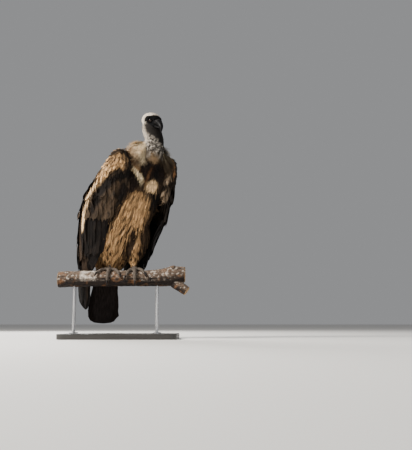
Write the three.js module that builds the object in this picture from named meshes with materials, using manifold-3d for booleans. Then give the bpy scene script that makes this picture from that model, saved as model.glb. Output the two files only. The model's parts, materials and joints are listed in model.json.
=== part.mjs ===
// A life-size model of a white-backed vulture (Gyps africanus), perched on a cut length of
// branch that two short rods hold over a flat base.
// Millimetres, +Z up. The origin is the centre of the base's underside. The branch runs along X.
// Bird sizes are in the bird's own frame: +X its left side, -Y forwards, +Z up, with zero on
// top of the branch between the feet.
import * as THREE from "three";
import { mergeVertices } from "three/addons/utils/BufferGeometryUtils.js";
import Module from "manifold-3d";

const wasm = await Module();
wasm.setup();

// Driving dimensions.
const PERCH_TOP = 286; // height of the branch's top over the floor
const PERCH_RADIUS = 34;
const PERCH_HALF = 268; // half of the branch's cut length
const BODY_YAW = 36; // degrees that the bird is turned from the branch's front (-Y) towards +X
const GAP = 0.35; // clearance between neighbouring solids
const BASE = { long: 480, deep: 340, thick: 22, corner: 28, bevel: 2.5 };
const ROD = { radius: 7, flange: 19, flangeHeight: 5, chamfer: 1.5, socket: 12 };
const ROD_AT = { left: -198, right: 150 }; // where each rod stands, along the branch
const FOOT = { right: -52, left: 54 }; // where each foot grips, along the branch

const PERCH_AXIS = PERCH_TOP - PERCH_RADIUS;
const DEGREE = Math.PI / 180;
const vec = (x, y, z) => new THREE.Vector3(x, y, z);

// ---------------------------------------------------------------- solids and meshes

// A closed geometry as a solid that can be joined and cut. Grown, it is a cutter that leaves
// a clearance round the piece it is made from.
function toSolid(geometry, grow = 0) {
  const bare = geometry.clone();
  for (const name of Object.keys(bare.attributes)) {
    if (name !== "position") bare.deleteAttribute(name);
  }
  const merged = mergeVertices(bare, 1e-3);
  merged.computeVertexNormals();
  const { position, normal } = merged.attributes;
  const point = vec(0, 0, 0);
  const out = vec(0, 0, 0);
  for (let i = 0; i < position.count; i++) {
    out.fromBufferAttribute(normal, i);
    point.fromBufferAttribute(position, i).addScaledVector(out, grow);
    position.setXYZ(i, point.x, point.y, point.z);
  }
  return new wasm.Manifold(
    new wasm.Mesh({
      numProp: 3,
      vertProperties: position.array,
      triVerts: new Uint32Array(merged.index.array),
    }),
  );
}

function toMesh(name, solid, material) {
  const { numProp, numVert, vertProperties, triVerts } = solid.getMesh();
  const position = new Float32Array(numVert * 3);
  for (let i = 0; i < numVert; i++) {
    position.set(vertProperties.subarray(i * numProp, i * numProp + 3), i * 3);
  }
  const geometry = new THREE.BufferGeometry();
  geometry.setAttribute("position", new THREE.BufferAttribute(position, 3));
  geometry.setIndex(new THREE.BufferAttribute(triVerts, 1));
  geometry.computeVertexNormals();
  const mesh = new THREE.Mesh(geometry, material);
  mesh.name = name;
  return mesh;
}

// The value of one field at station s, smoothly through the sections.
function fieldAt(sections, key, s) {
  const last = sections.length - 1;
  const i = Math.min(Math.floor(s), last - 1);
  const value = (k) => sections[THREE.MathUtils.clamp(k, 0, last)][key];
  const [a, b, c, d] = [value(i - 1), value(i), value(i + 1), value(i + 2)];
  const t = s - i;
  return (
    b +
    0.5 * t * (c - a + t * (2 * a - 5 * b + 4 * c - d + t * (3 * (b - c) + d - a)))
  );
}

// A closed form swept through sections. Each section gives its centre x, y, z, its half width
// across, its half depths under and over the centre, and how far its first and its last edge
// across curl towards under. Sections stand square to the run, unless they are level ones.
function loft(sections, { across, level = false, around, along }) {
  const geometry = new THREE.SphereGeometry(1, around, along);
  const position = geometry.getAttribute("position");
  const last = sections.length - 1;
  const step = 0.02 * last; // how far to either side the run's direction is taken
  const centreAt = (s) =>
    vec(...["x", "y", "z"].map((key) => fieldAt(sections, key, s)));
  const point = vec(0, 0, 0);
  for (let i = 0; i < position.count; i++) {
    point.fromBufferAttribute(position, i);
    const s = (Math.acos(THREE.MathUtils.clamp(point.y, -1, 1)) / Math.PI) * last;
    const centre = centreAt(s);
    if (Math.hypot(point.x, point.z) > 1e-6) {
      const angle = Math.atan2(point.z, point.x);
      const tangent = centreAt(Math.min(s + step, last))
        .sub(centreAt(Math.max(s - step, 0)))
        .normalize();
      const over = tangent.clone().cross(across).normalize();
      const side = level ? across : over.clone().cross(tangent).normalize();
      const depth = Math.sin(angle) > 0 ? "over" : "under";
      const edge = Math.cos(angle) > 0 ? "lastCurl" : "firstCurl";
      const curl = fieldAt(sections, edge, s) * Math.cos(angle) ** 2;
      centre
        .addScaledVector(side, fieldAt(sections, "wide", s) * Math.cos(angle))
        .addScaledVector(over, fieldAt(sections, depth, s) * Math.sin(angle) - curl);
    }
    position.setXYZ(i, centre.x, centre.y, centre.z);
  }
  return geometry;
}

// Rows of numbers as sections. A row without a curl has none.
const sectionsOf = (rows) =>
  rows.map(([x, y, z, wide, under, over, curl = 0]) => ({
    x,
    y,
    z,
    wide,
    under,
    over,
    firstCurl: curl,
    lastCurl: curl,
  }));

// A form makes its solid, grown as far as is asked, so that a neighbour can be cut clear of it.
const form = (rows, options) => {
  const geometry = loft(sectionsOf(rows), { across: vec(1, 0, 0), ...options });
  return (grow = 0) => toSolid(geometry, grow);
};

// What is left of a solid on the side of a plane that its normal points to.
function keepBeyond(solid, normal, point, clearance = 0) {
  const n = normal.clone().normalize();
  return solid.trimByPlane(n.toArray(), n.dot(point) + clearance);
}

// Both sides of the cut at a plane, with the clearance between them.
const cutInTwo = (solid, normal, point) => [
  keepBeyond(solid, normal, point, GAP / 2),
  keepBeyond(solid, normal.clone().negate(), point, GAP / 2),
];

const minus = (solid, ...cutters) =>
  cutters.reduce((left, cutter) => left.subtract(cutter), solid);

// The largest body that a cut leaves, without the slivers.
const largest = (solid) =>
  solid.decompose().reduce((a, b) => (a.volume() > b.volume() ? a : b));

// ---------------------------------------------------------------- materials

const finish = (color, roughness = 0.85, metalness = 0) =>
  new THREE.MeshStandardMaterial({ color, roughness, metalness });
const FINISH = {
  tan: finish(0x94703f),
  brown: finish(0x4c3623),
  darkFeather: finish(0x1d1713),
  down: finish(0xcdbc98),
  skin: finish(0x1c1a1a, 0.6),
  horn: finish(0x0c0c0d, 0.3),
  eye: finish(0x140b06, 0.1),
  scale: finish(0x3a3733, 0.6),
  bark: finish(0x80684c, 0.95),
  base: finish(0x2a211b, 0.45),
  steel: finish(0x9a9a98, 0.35, 1),
};

// ---------------------------------------------------------------- trunk, neck, head

// From the tail's root up to the neck's root.
const trunk = form(
  [
    [0, 124, 6, 34, 30, 14],
    [0, 116, 42, 64, 72, 30],
    [0, 100, 98, 84, 96, 48],
    [0, 64, 164, 108, 104, 72],
    [2, 14, 236, 122, 106, 90],
    [6, -48, 310, 126, 104, 94],
    [12, -108, 372, 116, 94, 86],
    [19, -158, 420, 88, 72, 66],
    [25, -190, 454, 52, 46, 44],
    [28, -206, 472, 22, 20, 22],
  ],
  { around: 22, along: 14 },
);

// From inside the breast up to under the skull.
const neck = form(
  [
    [20, -174, 428, 26, 22, 24],
    [24, -192, 458, 42, 40, 42],
    [26, -208, 492, 40, 38, 40],
    [26, -213, 524, 37, 34, 37],
    [23, -204, 556, 37, 31, 39],
    [20, -190, 586, 37, 30, 40],
    [20, -180, 612, 24, 20, 25],
  ],
  { around: 14, along: 8 },
);

// The fluffed collar round the back and sides of the neck's root. The neck fills its open front.
const ruff = form(
  [
    [18, -140, 408, 40, 24, 44],
    [20, -154, 428, 76, 40, 74],
    [24, -172, 454, 86, 40, 82],
    [28, -184, 480, 76, 32, 70],
    [31, -194, 502, 57, 22, 52],
    [32, -200, 516, 30, 14, 28],
  ],
  { around: 16, along: 8 },
);

// The head is laid out level, forwards along -Y with zero between the eyes, then tipped down.
const HEAD = { at: vec(22, -210, 608), turn: -4, pitch: 28 };
const EYE = { radius: 9.5, spread: 19.5, forward: 12 };
const placeHead = new THREE.Matrix4()
  .makeTranslation(HEAD.at.x, HEAD.at.y, HEAD.at.z)
  .multiply(new THREE.Matrix4().makeRotationZ(HEAD.turn * DEGREE))
  .multiply(new THREE.Matrix4().makeRotationX(HEAD.pitch * DEGREE));
const inHead = (solid) => solid.transform(placeHead.elements);

// From the back of the skull to the bill's root: across, forwards and up, then half sizes.
const skull = form(
  [
    [0, 60, -17, 14, 16, 11],
    [0, 52, -14, 28, 30, 20],
    [0, 38, -8, 34, 37, 27],
    [0, 20, -3, 34.5, 38, 29],
    [0, 2, -1, 33, 37, 27.5],
    [0, -14, -3, 28.5, 32, 23],
    [0, -28, -4, 21, 25, 18],
    [0, -40, -5, 15, 18, 14.5],
    [0, -48, -5.5, 12, 14, 12],
  ],
  { around: 16, along: 12 },
);
const upperBill = form(
  [
    [0, -26, 1, 9, 6, 8],
    [0, -34, 1, 14, 9, 11.5],
    [0, -48, 0.5, 13.4, 9.5, 12.5],
    [0, -62, -2.5, 11.5, 9, 12],
    [0, -74, -9, 8.6, 7.5, 10],
    [0, -81, -18, 5.2, 5, 6.5],
    [0, -83.5, -28, 2.6, 2.6, 3],
    [0, -83, -33, 0.8, 0.8, 0.8],
  ],
  { around: 10, along: 12 },
);
const lowerBill = form(
  [
    [0, -22, -15, 8, 5, 4],
    [0, -34, -16, 12.4, 7, 6],
    [0, -50, -15.5, 10.6, 6.2, 6],
    [0, -64, -14.5, 7.6, 4.6, 5],
    [0, -72, -14.5, 3, 2.2, 2.4],
  ],
  { around: 8, along: 7 },
);
const eyeball = (side, grow = 0) => {
  const ball = new THREE.SphereGeometry(EYE.radius, 10, 7);
  return toSolid(ball.translate(side * EYE.spread, -EYE.forward, 0), grow);
};

// ---------------------------------------------------------------- wings and tail

// A folded wing, in level slices from the top of the wrist down to its tip. Each row gives the
// height, the leading and the trailing edge fore and aft, how far out from the bird's midline
// it stands, its half thickness, and how far those two edges curl in round the body.
const WING = {
  right: {
    side: -1,
    rows: [
      [480, -186, -168, 90, 6, 4, 2],
      [468, -200, -156, 104, 18, 24, 6],
      [440, -208, -134, 122, 27, 48, 14],
      [400, -196, -84, 138, 30, 66, 34],
      [350, -172, 8, 148, 30, 76, 56],
      [295, -146, 98, 154, 26, 76, 78],
      [235, -102, 158, 156, 22, 70, 90],
      [170, -54, 160, 152, 18, 60, 78],
      [110, -12, 163, 144, 14, 50, 54],
      [60, 12, 168, 135, 11, 40, 22],
      [18, 30, 173, 126, 8, 24, 12],
      [-14, 66, 184, 116, 6.5, 12, 8],
      [-60, 96, 202, 108, 5.5, 6, 5],
      [-105, 90, 205, 102, 4.5, 4, 3],
      [-135, 98, 194, 97, 3.5, 1, 0],
      [-154, 118, 172, 93, 2.5, 0, 0],
      [-166, 136, 154, 91, 1.4, 0, 0],
    ],
  },
  left: {
    side: 1,
    rows: [
      [484, -160, -150, 118, 5, 2, 2],
      [472, -178, -116, 136, 17, 26, 10],
      [444, -190, -70, 152, 27, 50, 22],
      [402, -184, -10, 168, 31, 66, 52],
      [355, -164, 50, 177, 30, 70, 76],
      [300, -146, 106, 182, 26, 64, 94],
      [240, -124, 136, 180, 22, 56, 96],
      [175, -96, 142, 170, 18, 48, 80],
      [110, -70, 146, 142, 14, 42, 56],
      [55, -46, 148, 127, 10, 28, 22],
      [8, -14, 154, 113, 7.5, 14, 10],
      [-22, 66, 158, 102, 5, 8, 5],
      [-40, 112, 158, 94, 3, 4, 2],
      [-50, 134, 146, 88, 1.2, 0, 0],
    ],
  },
};
// Where the coverts give way to the flight feathers, and where the primaries begin.
const COVERT_EDGE = { point: vec(0, -12, 208), down: vec(0, 0.5, -0.866) };
const PRIMARY_EDGE = { point: vec(0, 170, 12), back: vec(0, 0.75, 0.66) };

function wing({ side, rows }) {
  const sections = rows.map(([z, lead, trail, out, thick, leadCurl, trailCurl]) => ({
    x: side * out,
    y: (lead + trail) / 2,
    z,
    wide: (trail - lead) / 2,
    under: thick,
    over: thick,
    firstCurl: side * leadCurl,
    lastCurl: side * trailCurl,
  }));
  const blade = loft(sections, { across: vec(0, 1, 0), level: true, around: 14, along: 22 });
  const whole = (grow = 0) => toSolid(blade, grow);
  const [lower, coverts] = cutInTwo(whole(), COVERT_EDGE.down, COVERT_EDGE.point);
  const [secondaries, primaries] = cutInTwo(lower, PRIMARY_EDGE.back, PRIMARY_EDGE.point);
  return { whole, coverts, secondaries, primaries };
}

const tail = form(
  [
    [0, 114, 78, 20, 7, 7],
    [0, 120, 58, 40, 11, 10],
    [-1, 128, 6, 52, 9, 8],
    [-2, 135, -60, 62, 7, 6, 5],
    [-3, 142, -128, 72, 5, 4, 8],
    [-4, 148, -186, 74, 3.5, 3, 9],
    [-4, 151, -214, 58, 2.2, 2, 6],
    [-4, 152, -224, 26, 1.2, 1.2, 1],
  ],
  { around: 14, along: 12 },
);

// ---------------------------------------------------------------- legs and feet

const yaw = BODY_YAW * DEGREE;
// A point on the branch's own axes, in the bird's frame.
const toBird = (x, y, z) =>
  vec(x * Math.cos(yaw) + y * Math.sin(yaw), y * Math.cos(yaw) - x * Math.sin(yaw), z);
// A foot's middle, in the bird's frame.
const footAt = (name) => toBird(FOOT[name], 0, 10);

function thigh(name) {
  const side = name === "left" ? 1 : -1;
  const foot = footAt(name);
  return form(
    [
      [side * 58, -14, 262, 18, 20, 20],
      [side * 66, -12, 232, 38, 44, 40],
      [side * 68, (foot.y - 16) / 2, 182, 44, 56, 52],
      [(foot.x + side * 66) / 2, foot.y * 0.7 + 2, 124, 42, 50, 50],
      [foot.x + side * 4, foot.y + 12, 76, 34, 38, 42],
      [foot.x + side * 2, foot.y + 18, 42, 24, 26, 28],
      [foot.x, foot.y + 20, 28, 9, 10, 10],
    ],
    { around: 12, along: 9 },
  );
}

function tarsus(name) {
  const foot = footAt(name);
  return form(
    [
      [foot.x, foot.y + 44, 74, 5, 5, 5],
      [foot.x, foot.y + 40, 66, 10, 10, 11],
      [foot.x, foot.y + 24, 44, 8.5, 8.5, 9],
      [foot.x, foot.y + 8, 22, 9.5, 9.5, 9.5],
      [foot.x, foot.y + 2, 9, 12, 11, 11],
      [foot.x, foot.y + 1, 3, 8, 8, 8],
    ],
    { around: 8, along: 6 },
  );
}

// Where a toe lies: so far along the branch from its foot, so many degrees round the branch
// from its top towards its front, and so high over the bark.
const onPerch = (x, turn, height) =>
  vec(
    x,
    -(PERCH_RADIUS + height) * Math.sin(turn * DEGREE),
    PERCH_AXIS + (PERCH_RADIUS + height) * Math.cos(turn * DEGREE),
  );

// Each toe's shift along the branch (positive towards the bird's outer side), its turns round
// the branch, and its thickness at the root and at the end.
const TOES = {
  right: {
    middle: { shift: [0, 1, 3, 4], turn: [6, 40, 76, 106], thick: [9, 7] },
    inner: { shift: [-7, -24, -38, -46], turn: [8, 24, 46, 70], thick: [8, 6] },
    outer: { shift: [8, 24, 38, 46], turn: [6, 16, 32, 54], thick: [8, 6] },
    back: { shift: [-3, -6, -9, -11], turn: [-12, -34, -56, -76], thick: [8, 6.5] },
  },
  left: {
    middle: { shift: [0, 3, 5, 5], turn: [6, 42, 78, 108], thick: [9, 7] },
    inner: { shift: [-7, -18, -27, -32], turn: [8, 30, 54, 78], thick: [8, 6] },
    outer: { shift: [8, 24, 36, 44], turn: [6, 20, 38, 60], thick: [8, 6] },
    back: { shift: [-3, -6, -9, -11], turn: [-12, -34, -56, -76], thick: [8, 6.5] },
  },
};
const TOE_TIP = { turn: 7, taper: 0.45 };
const CLAW = { turn: [0, 9, 19, 27], lift: [0, 5, 3.5, -3], thick: [4.6, 4.2, 2.8, 0.7] };

function toe(footX, side, { shift, turn, thick }) {
  const rows = shift.map((along, i) => {
    const share = i / (shift.length - 1);
    const radius = THREE.MathUtils.lerp(thick[0], thick[1], share);
    const at = onPerch(footX + side * along, turn[i], radius - 1);
    return [at.x, at.y, at.z, radius * 1.05, radius, radius];
  });
  const past = 2 * shift.at(-1) - shift.at(-2);
  const tip = onPerch(
    footX + side * past,
    turn.at(-1) + Math.sign(turn.at(-1)) * TOE_TIP.turn,
    thick[1] - 1,
  );
  const tipRadius = thick[1] * TOE_TIP.taper;
  rows.push([tip.x, tip.y, tip.z, tipRadius, tipRadius, tipRadius]);
  return form(rows, { around: 7, along: 8 });
}

function claw(footX, side, { shift, turn, thick }) {
  const way = Math.sign(turn.at(-1));
  const drift = (shift.at(-1) - shift.at(-2)) * 0.35;
  const rows = CLAW.turn.map((more, i) => {
    const along = footX + side * (shift.at(-1) + drift * (1 + i));
    const at = onPerch(along, turn.at(-1) + way * (3 + more), thick[1] + 1 + CLAW.lift[i]);
    return [at.x, at.y, at.z, CLAW.thick[i] * 0.8, CLAW.thick[i], CLAW.thick[i]];
  });
  return form(rows, { around: 6, along: 6 });
}

// ---------------------------------------------------------------- perch and stand

// The cut branch, from its left end to its right: it thickens at an old knot near the right end.
const perchLog = form(
  [
    [-PERCH_HALF - 40, 4, PERCH_AXIS - 4, 35, 36, 35],
    [-PERCH_HALF, 3, PERCH_AXIS - 4, 34, 35, 34],
    [-190, 0, PERCH_AXIS - 2, 33, 35, 34],
    [-110, 0, PERCH_AXIS, 34, 34, 34],
    [-20, 0, PERCH_AXIS, 34, 34, 34],
    [70, 0, PERCH_AXIS, 34, 34, 34],
    [140, 0, PERCH_AXIS + 1, 34, 35, 35],
    [198, 2, PERCH_AXIS + 6, 38, 40, 42],
    [232, 5, PERCH_AXIS + 12, 37, 38, 40],
    [PERCH_HALF, 8, PERCH_AXIS + 19, 32, 33, 32],
    [PERCH_HALF + 40, 12, PERCH_AXIS + 26, 31, 31, 31],
  ],
  { across: vec(0, 1, 0), around: 14, along: 11 },
);
const knot = form(
  [
    [192, -8, PERCH_AXIS + 22, 10, 10, 10],
    [206, -9, PERCH_AXIS + 34, 19, 18, 17],
    [222, -8, PERCH_AXIS + 46, 13, 12, 11],
    [228, -8, PERCH_AXIS + 52, 5, 5, 5],
  ],
  { across: vec(0, 1, 0), around: 8, along: 5 },
);
// The stump of a side limb, sawn off square.
const LIMB_CUT = { point: vec(276, -11, PERCH_AXIS - 55), inwards: vec(-0.8, 0.14, 0.58) };
const limb = form(
  [
    [192, 4, PERCH_AXIS, 22, 22, 22],
    [230, -2, PERCH_AXIS - 24, 23, 23, 23],
    [262, -8, PERCH_AXIS - 45, 21, 21, 21],
    [296, -15, PERCH_AXIS - 69, 20, 20, 20],
    [330, -22, PERCH_AXIS - 92, 19, 19, 19],
  ],
  { across: vec(0, 1, 0), around: 10, along: 5 },
);

function perchSolid() {
  const end = vec(PERCH_HALF, 0, 0);
  const inwards = vec(-1, 0, 0);
  const oneEnd = keepBeyond(perchLog(), inwards, end);
  const log = keepBeyond(oneEnd, inwards.negate(), end.negate());
  return log.add(knot()).add(keepBeyond(limb(), LIMB_CUT.inwards, LIMB_CUT.point));
}

function baseSolid() {
  const { long, deep, thick, corner, bevel } = BASE;
  const [x, y] = [long / 2 - bevel, deep / 2 - bevel];
  const outline = new THREE.Shape();
  outline.moveTo(-x + corner, -y);
  for (const [sx, sy, turn] of [[1, -1, -90], [1, 1, 0], [-1, 1, 90], [-1, -1, 180]]) {
    outline.absarc(
      sx * (x - corner),
      sy * (y - corner),
      corner,
      turn * DEGREE,
      (turn + 90) * DEGREE,
    );
  }
  const geometry = new THREE.ExtrudeGeometry(outline, {
    depth: thick - 2 * bevel,
    bevelSize: bevel,
    bevelThickness: bevel,
    bevelSegments: 1,
    curveSegments: 3,
  });
  return toSolid(geometry.translate(0, 0, bevel));
}

// A rod with a flange that rests on the base, standing in the base and in the branch.
function rod(x, grow = 0) {
  const { radius, flange, flangeHeight, chamfer, socket } = ROD;
  const seat = BASE.thick + GAP;
  const profile = [
    [0, BASE.thick - socket],
    [radius, BASE.thick - socket],
    [radius, seat],
    [flange, seat],
    [flange, seat + flangeHeight - chamfer],
    [flange - chamfer, seat + flangeHeight],
    [radius, seat + flangeHeight],
    [radius, PERCH_AXIS - PERCH_RADIUS + socket],
    [0, PERCH_AXIS - PERCH_RADIUS + socket],
  ].map(([r, z]) => new THREE.Vector2(r, z));
  const geometry = new THREE.LatheGeometry(profile, 12).rotateX(Math.PI / 2);
  return toSolid(geometry.translate(x, 0, 0), grow);
}

// ---------------------------------------------------------------- assembly

const model = new THREE.Group();
const bird = new THREE.Group();
bird.position.z = PERCH_TOP;
bird.rotation.z = yaw;
bird.updateMatrix();
model.add(bird);
const toBirdFrame = bird.matrix.clone().invert().elements;

const wings = { right: wing(WING.right), left: wing(WING.left) };
const perchGrown = perchLog(GAP).add(knot(GAP)).add(limb(GAP));
const perchInBird = perchGrown.transform(toBirdFrame);
const cutters = {
  trunk: trunk(GAP),
  neck: neck(GAP),
  skull: inHead(skull(GAP)),
  wings: wings.right.whole(GAP).add(wings.left.whole(GAP)),
};

const addBird = (name, solid, material) => bird.add(toMesh(name, largest(solid), material));

addBird("trunk", minus(trunk(), cutters.wings), FINISH.tan);
addBird("neck", minus(neck(), cutters.trunk, cutters.skull), FINISH.down);
addBird(
  "ruff",
  minus(ruff(), cutters.neck, cutters.trunk, cutters.wings, cutters.skull),
  FINISH.down,
);

const headCutters = [upperBill(GAP), lowerBill(GAP), eyeball(1, GAP), eyeball(-1, GAP)];
addBird("head", inHead(minus(skull(), ...headCutters)), FINISH.skin);
addBird("bill_upper", inHead(upperBill()), FINISH.horn);
addBird("bill_lower", inHead(minus(lowerBill(), upperBill(GAP))), FINISH.horn);
addBird("eye_right", inHead(eyeball(-1)), FINISH.eye);
addBird("eye_left", inHead(eyeball(1)), FINISH.eye);

for (const [name, parts] of Object.entries(wings)) {
  addBird(`wing_${name}_coverts`, parts.coverts, FINISH.brown);
  for (const row of ["secondaries", "primaries"]) {
    const flight = parts[row].subtract(perchInBird);
    addBird(`wing_${name}_${row}`, flight, FINISH.darkFeather);
  }
}
addBird("tail", minus(tail(), cutters.trunk, cutters.wings), FINISH.darkFeather);

for (const name of ["right", "left"]) {
  const side = name === "left" ? 1 : -1;
  const toesGrown = [];
  for (const [which, spec] of Object.entries(TOES[name])) {
    const toeForm = toe(FOOT[name], side, spec);
    const clawForm = claw(FOOT[name], side, spec);
    const toeSolid = minus(toeForm(), perchGrown, clawForm(GAP), ...toesGrown);
    const clawSolid = minus(clawForm(), perchGrown);
    model.add(toMesh(`toe_${name}_${which}`, largest(toeSolid), FINISH.scale));
    model.add(toMesh(`claw_${name}_${which}`, largest(clawSolid), FINISH.horn));
    toesGrown.push(toeForm(GAP));
  }
  const footInBird = wasm.Manifold.union(toesGrown).transform(toBirdFrame);
  const tarsusForm = tarsus(name);
  const around = [cutters.trunk, perchInBird, footInBird];
  addBird(`tarsus_${name}`, minus(tarsusForm(), ...around), FINISH.scale);
  addBird(
    `thigh_${name}`,
    minus(thigh(name)(), ...around, cutters.wings, tarsusForm(GAP)),
    FINISH.tan,
  );
}

const rodCutter = rod(ROD_AT.left, GAP).add(rod(ROD_AT.right, GAP));
model.add(toMesh("perch", largest(perchSolid().subtract(rodCutter)), FINISH.bark));
model.add(toMesh("stand_base", baseSolid().subtract(rodCutter), FINISH.base));
for (const [name, x] of Object.entries(ROD_AT)) {
  model.add(toMesh(`stand_rod_${name}`, rod(x), FINISH.steel));
}

export default model;
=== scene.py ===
"""The looks of a life-size white-backed vulture on a cut branch and a plain display stand.

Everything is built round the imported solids, in metres, +Z up. Sizes of the bird are written in
millimetres in the bird's own frame: +X its left side, -Y forwards, +Z up, with zero on top of the
branch between the feet. The head has a frame of its own, level and forwards along -Y, with zero
between the eyes.
"""

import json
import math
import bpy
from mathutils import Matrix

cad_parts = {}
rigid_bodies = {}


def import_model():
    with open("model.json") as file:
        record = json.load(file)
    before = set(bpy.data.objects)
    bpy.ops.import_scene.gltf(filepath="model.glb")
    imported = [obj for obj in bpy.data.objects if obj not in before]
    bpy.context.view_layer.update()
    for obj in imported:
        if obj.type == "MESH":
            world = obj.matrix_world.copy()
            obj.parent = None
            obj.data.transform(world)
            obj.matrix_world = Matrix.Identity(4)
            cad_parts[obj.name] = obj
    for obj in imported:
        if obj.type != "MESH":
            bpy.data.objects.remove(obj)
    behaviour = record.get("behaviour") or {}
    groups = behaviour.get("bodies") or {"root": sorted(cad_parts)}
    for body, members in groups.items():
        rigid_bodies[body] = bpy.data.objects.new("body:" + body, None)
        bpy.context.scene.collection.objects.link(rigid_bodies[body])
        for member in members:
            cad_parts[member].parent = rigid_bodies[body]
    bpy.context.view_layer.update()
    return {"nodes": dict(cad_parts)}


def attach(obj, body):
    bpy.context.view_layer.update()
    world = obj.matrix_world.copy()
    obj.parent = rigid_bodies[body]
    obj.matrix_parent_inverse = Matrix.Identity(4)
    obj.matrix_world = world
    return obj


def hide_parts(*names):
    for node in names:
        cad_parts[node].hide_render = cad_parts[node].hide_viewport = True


bl_info = {
    "name": "Perched Vulture",
    "version": (1, 0, 0),
    "blender": (4, 5, 0),
    "location": "3D View > Sidebar > Vulture",
    "description": "Builds the skin, plumage, bill, feet, branch and stand of a life-size vulture",
    "category": "Add Mesh",
}

import bmesh
import bpy
import numpy as np
from mathutils import Matrix, Vector, noise
from mathutils.bvhtree import BVHTree

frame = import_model()

MM = 0.001
SIDES = {"right": -1, "left": 1}
TOE_NAMES = ("middle", "inner", "outer", "back")
FLESH = ["trunk", "neck", "ruff", "head"]
for _name in SIDES:
    FLESH += [f"wing_{_name}_coverts", f"thigh_{_name}", f"tarsus_{_name}"]
    FLESH += [f"toe_{_name}_{toe}" for toe in TOE_NAMES]

PERCH_TOP = 0.286
PERCH_AXIS = 0.252
PERCH_RADIUS = 34 * MM
SCUTE = 6.0
BODY_YAW = math.radians(36)
BIRD = Matrix.Translation((0, 0, PERCH_TOP)) @ Matrix.Rotation(BODY_YAW, 4, "Z") @ Matrix.Scale(MM, 4)
HEAD = (
    BIRD
    @ Matrix.Translation((22, -210, 608))
    @ Matrix.Rotation(math.radians(-4), 4, "Z")
    @ Matrix.Rotation(math.radians(28), 4, "X")
)
EYE = {"at": np.array([19.5, -12.0, 0.0]), "radius": 9.5, "axis": np.array([0.87, -0.49, 0.04])}


# ------------------------------------------------------------------ numbers and meshes


def colour(code):
    """A colour written as in a picture, made linear."""
    parts = [int(code[i : i + 2], 16) / 255 for i in (0, 2, 4)]
    return tuple(c / 12.92 if c <= 0.04045 else ((c + 0.055) / 1.055) ** 2.4 for c in parts)


def place(matrix, points):
    """Points moved by a matrix, all at once."""
    m = np.array(matrix)
    return np.asarray(points, float) @ m[:3, :3].T + m[:3, 3]


def turn(matrix, directions):
    """Directions turned by a matrix and made unit length."""
    return unit(np.asarray(directions, float) @ np.array(matrix)[:3, :3].T)


def unit(v):
    v = np.asarray(v, float)
    return v / np.maximum(np.linalg.norm(v, axis=-1, keepdims=True), 1e-12)


def smooth(low, high, x):
    """0 below low, 1 above high, and an even curve between."""
    t = np.clip((np.asarray(x, float) - low) / (high - low), 0, 1)
    return t * t * (3 - 2 * t)


def blob(points, centre, radii):
    """1 in the middle of an ellipsoid, fading to 0 at its surface."""
    d = np.linalg.norm((points - np.array(centre, float)) / np.array(radii, float), axis=1)
    return 1 - smooth(0.45, 1.0, d)


def strip(points, path, radius):
    """1 along a broken line, fading to 0 at a distance from it."""
    best = np.full(len(points), 1e9)
    for a, b in zip(path[:-1], path[1:]):
        a, b = np.array(a, float), np.array(b, float)
        t = np.clip((points - a) @ (b - a) / ((b - a) @ (b - a)), 0, 1)
        best = np.minimum(best, np.linalg.norm(points - a - t[:, None] * (b - a), axis=1))
    return 1 - smooth(0.4, 1.0, best / np.maximum(radius, 1))


def speckle(points, size, seed=0.0):
    """Smooth noise from -1 to 1 whose lumps are about this size."""
    shift = Vector((seed, -seed, 2 * seed))
    return np.array([noise.noise(Vector(p) / size + shift) for p in points])


def curve_through(rows, count):
    """Rows of numbers read off along a smooth curve through them."""
    rows = np.asarray(rows, float)
    s = np.linspace(0, len(rows) - 1, count)
    i = np.minimum(s.astype(int), len(rows) - 2)
    f = (s - i)[:, None]
    at = lambda k: rows[np.clip(k, 0, len(rows) - 1)]
    a, b, c, d = at(i - 1), at(i), at(i + 1), at(i + 2)
    return 0.5 * (2 * b + (c - a) * f + (2 * a - 5 * b + 4 * c - d) * f**2 + (3 * b - a - 3 * c + d) * f**3)


def mesh_object(name, points, faces, shaded=True):
    """A mesh object from points in metres and faces."""
    mesh = bpy.data.meshes.new(name)
    mesh.from_pydata(np.asarray(points).tolist(), [], [tuple(map(int, f)) for f in faces])
    mesh.validate()
    mesh.shade_smooth() if shaded else mesh.shade_flat()
    obj = bpy.data.objects.new(name, mesh)
    bpy.context.scene.collection.objects.link(obj)
    return obj


def coordinates(mesh):
    co = np.empty(len(mesh.vertices) * 3)
    mesh.vertices.foreach_get("co", co)
    return co.reshape(-1, 3)


def set_coordinates(mesh, points):
    mesh.vertices.foreach_set("co", np.asarray(points, np.float32).ravel())
    mesh.update()


def normals(mesh):
    out = np.empty(len(mesh.vertices) * 3, np.float32)
    mesh.vertex_normals.foreach_get("vector", out)
    return out.reshape(-1, 3).astype(float)


def edge_ends(mesh):
    ends = np.empty(len(mesh.edges) * 2, np.int64)
    mesh.edges.foreach_get("vertices", ends)
    return ends.reshape(-1, 2)


def relaxed(values, ends, times, share=0.5):
    """Values on the points of a mesh, evened out along its edges."""
    values = np.array(values, float)
    count = np.bincount(ends.ravel(), minlength=len(values)).astype(float)
    count = count[:, None] if values.ndim > 1 else count
    for _ in range(times):
        total = np.zeros_like(values)
        np.add.at(total, ends[:, 0], values[ends[:, 1]])
        np.add.at(total, ends[:, 1], values[ends[:, 0]])
        values += share * (total / np.maximum(count, 1) - values)
    return values


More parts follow.
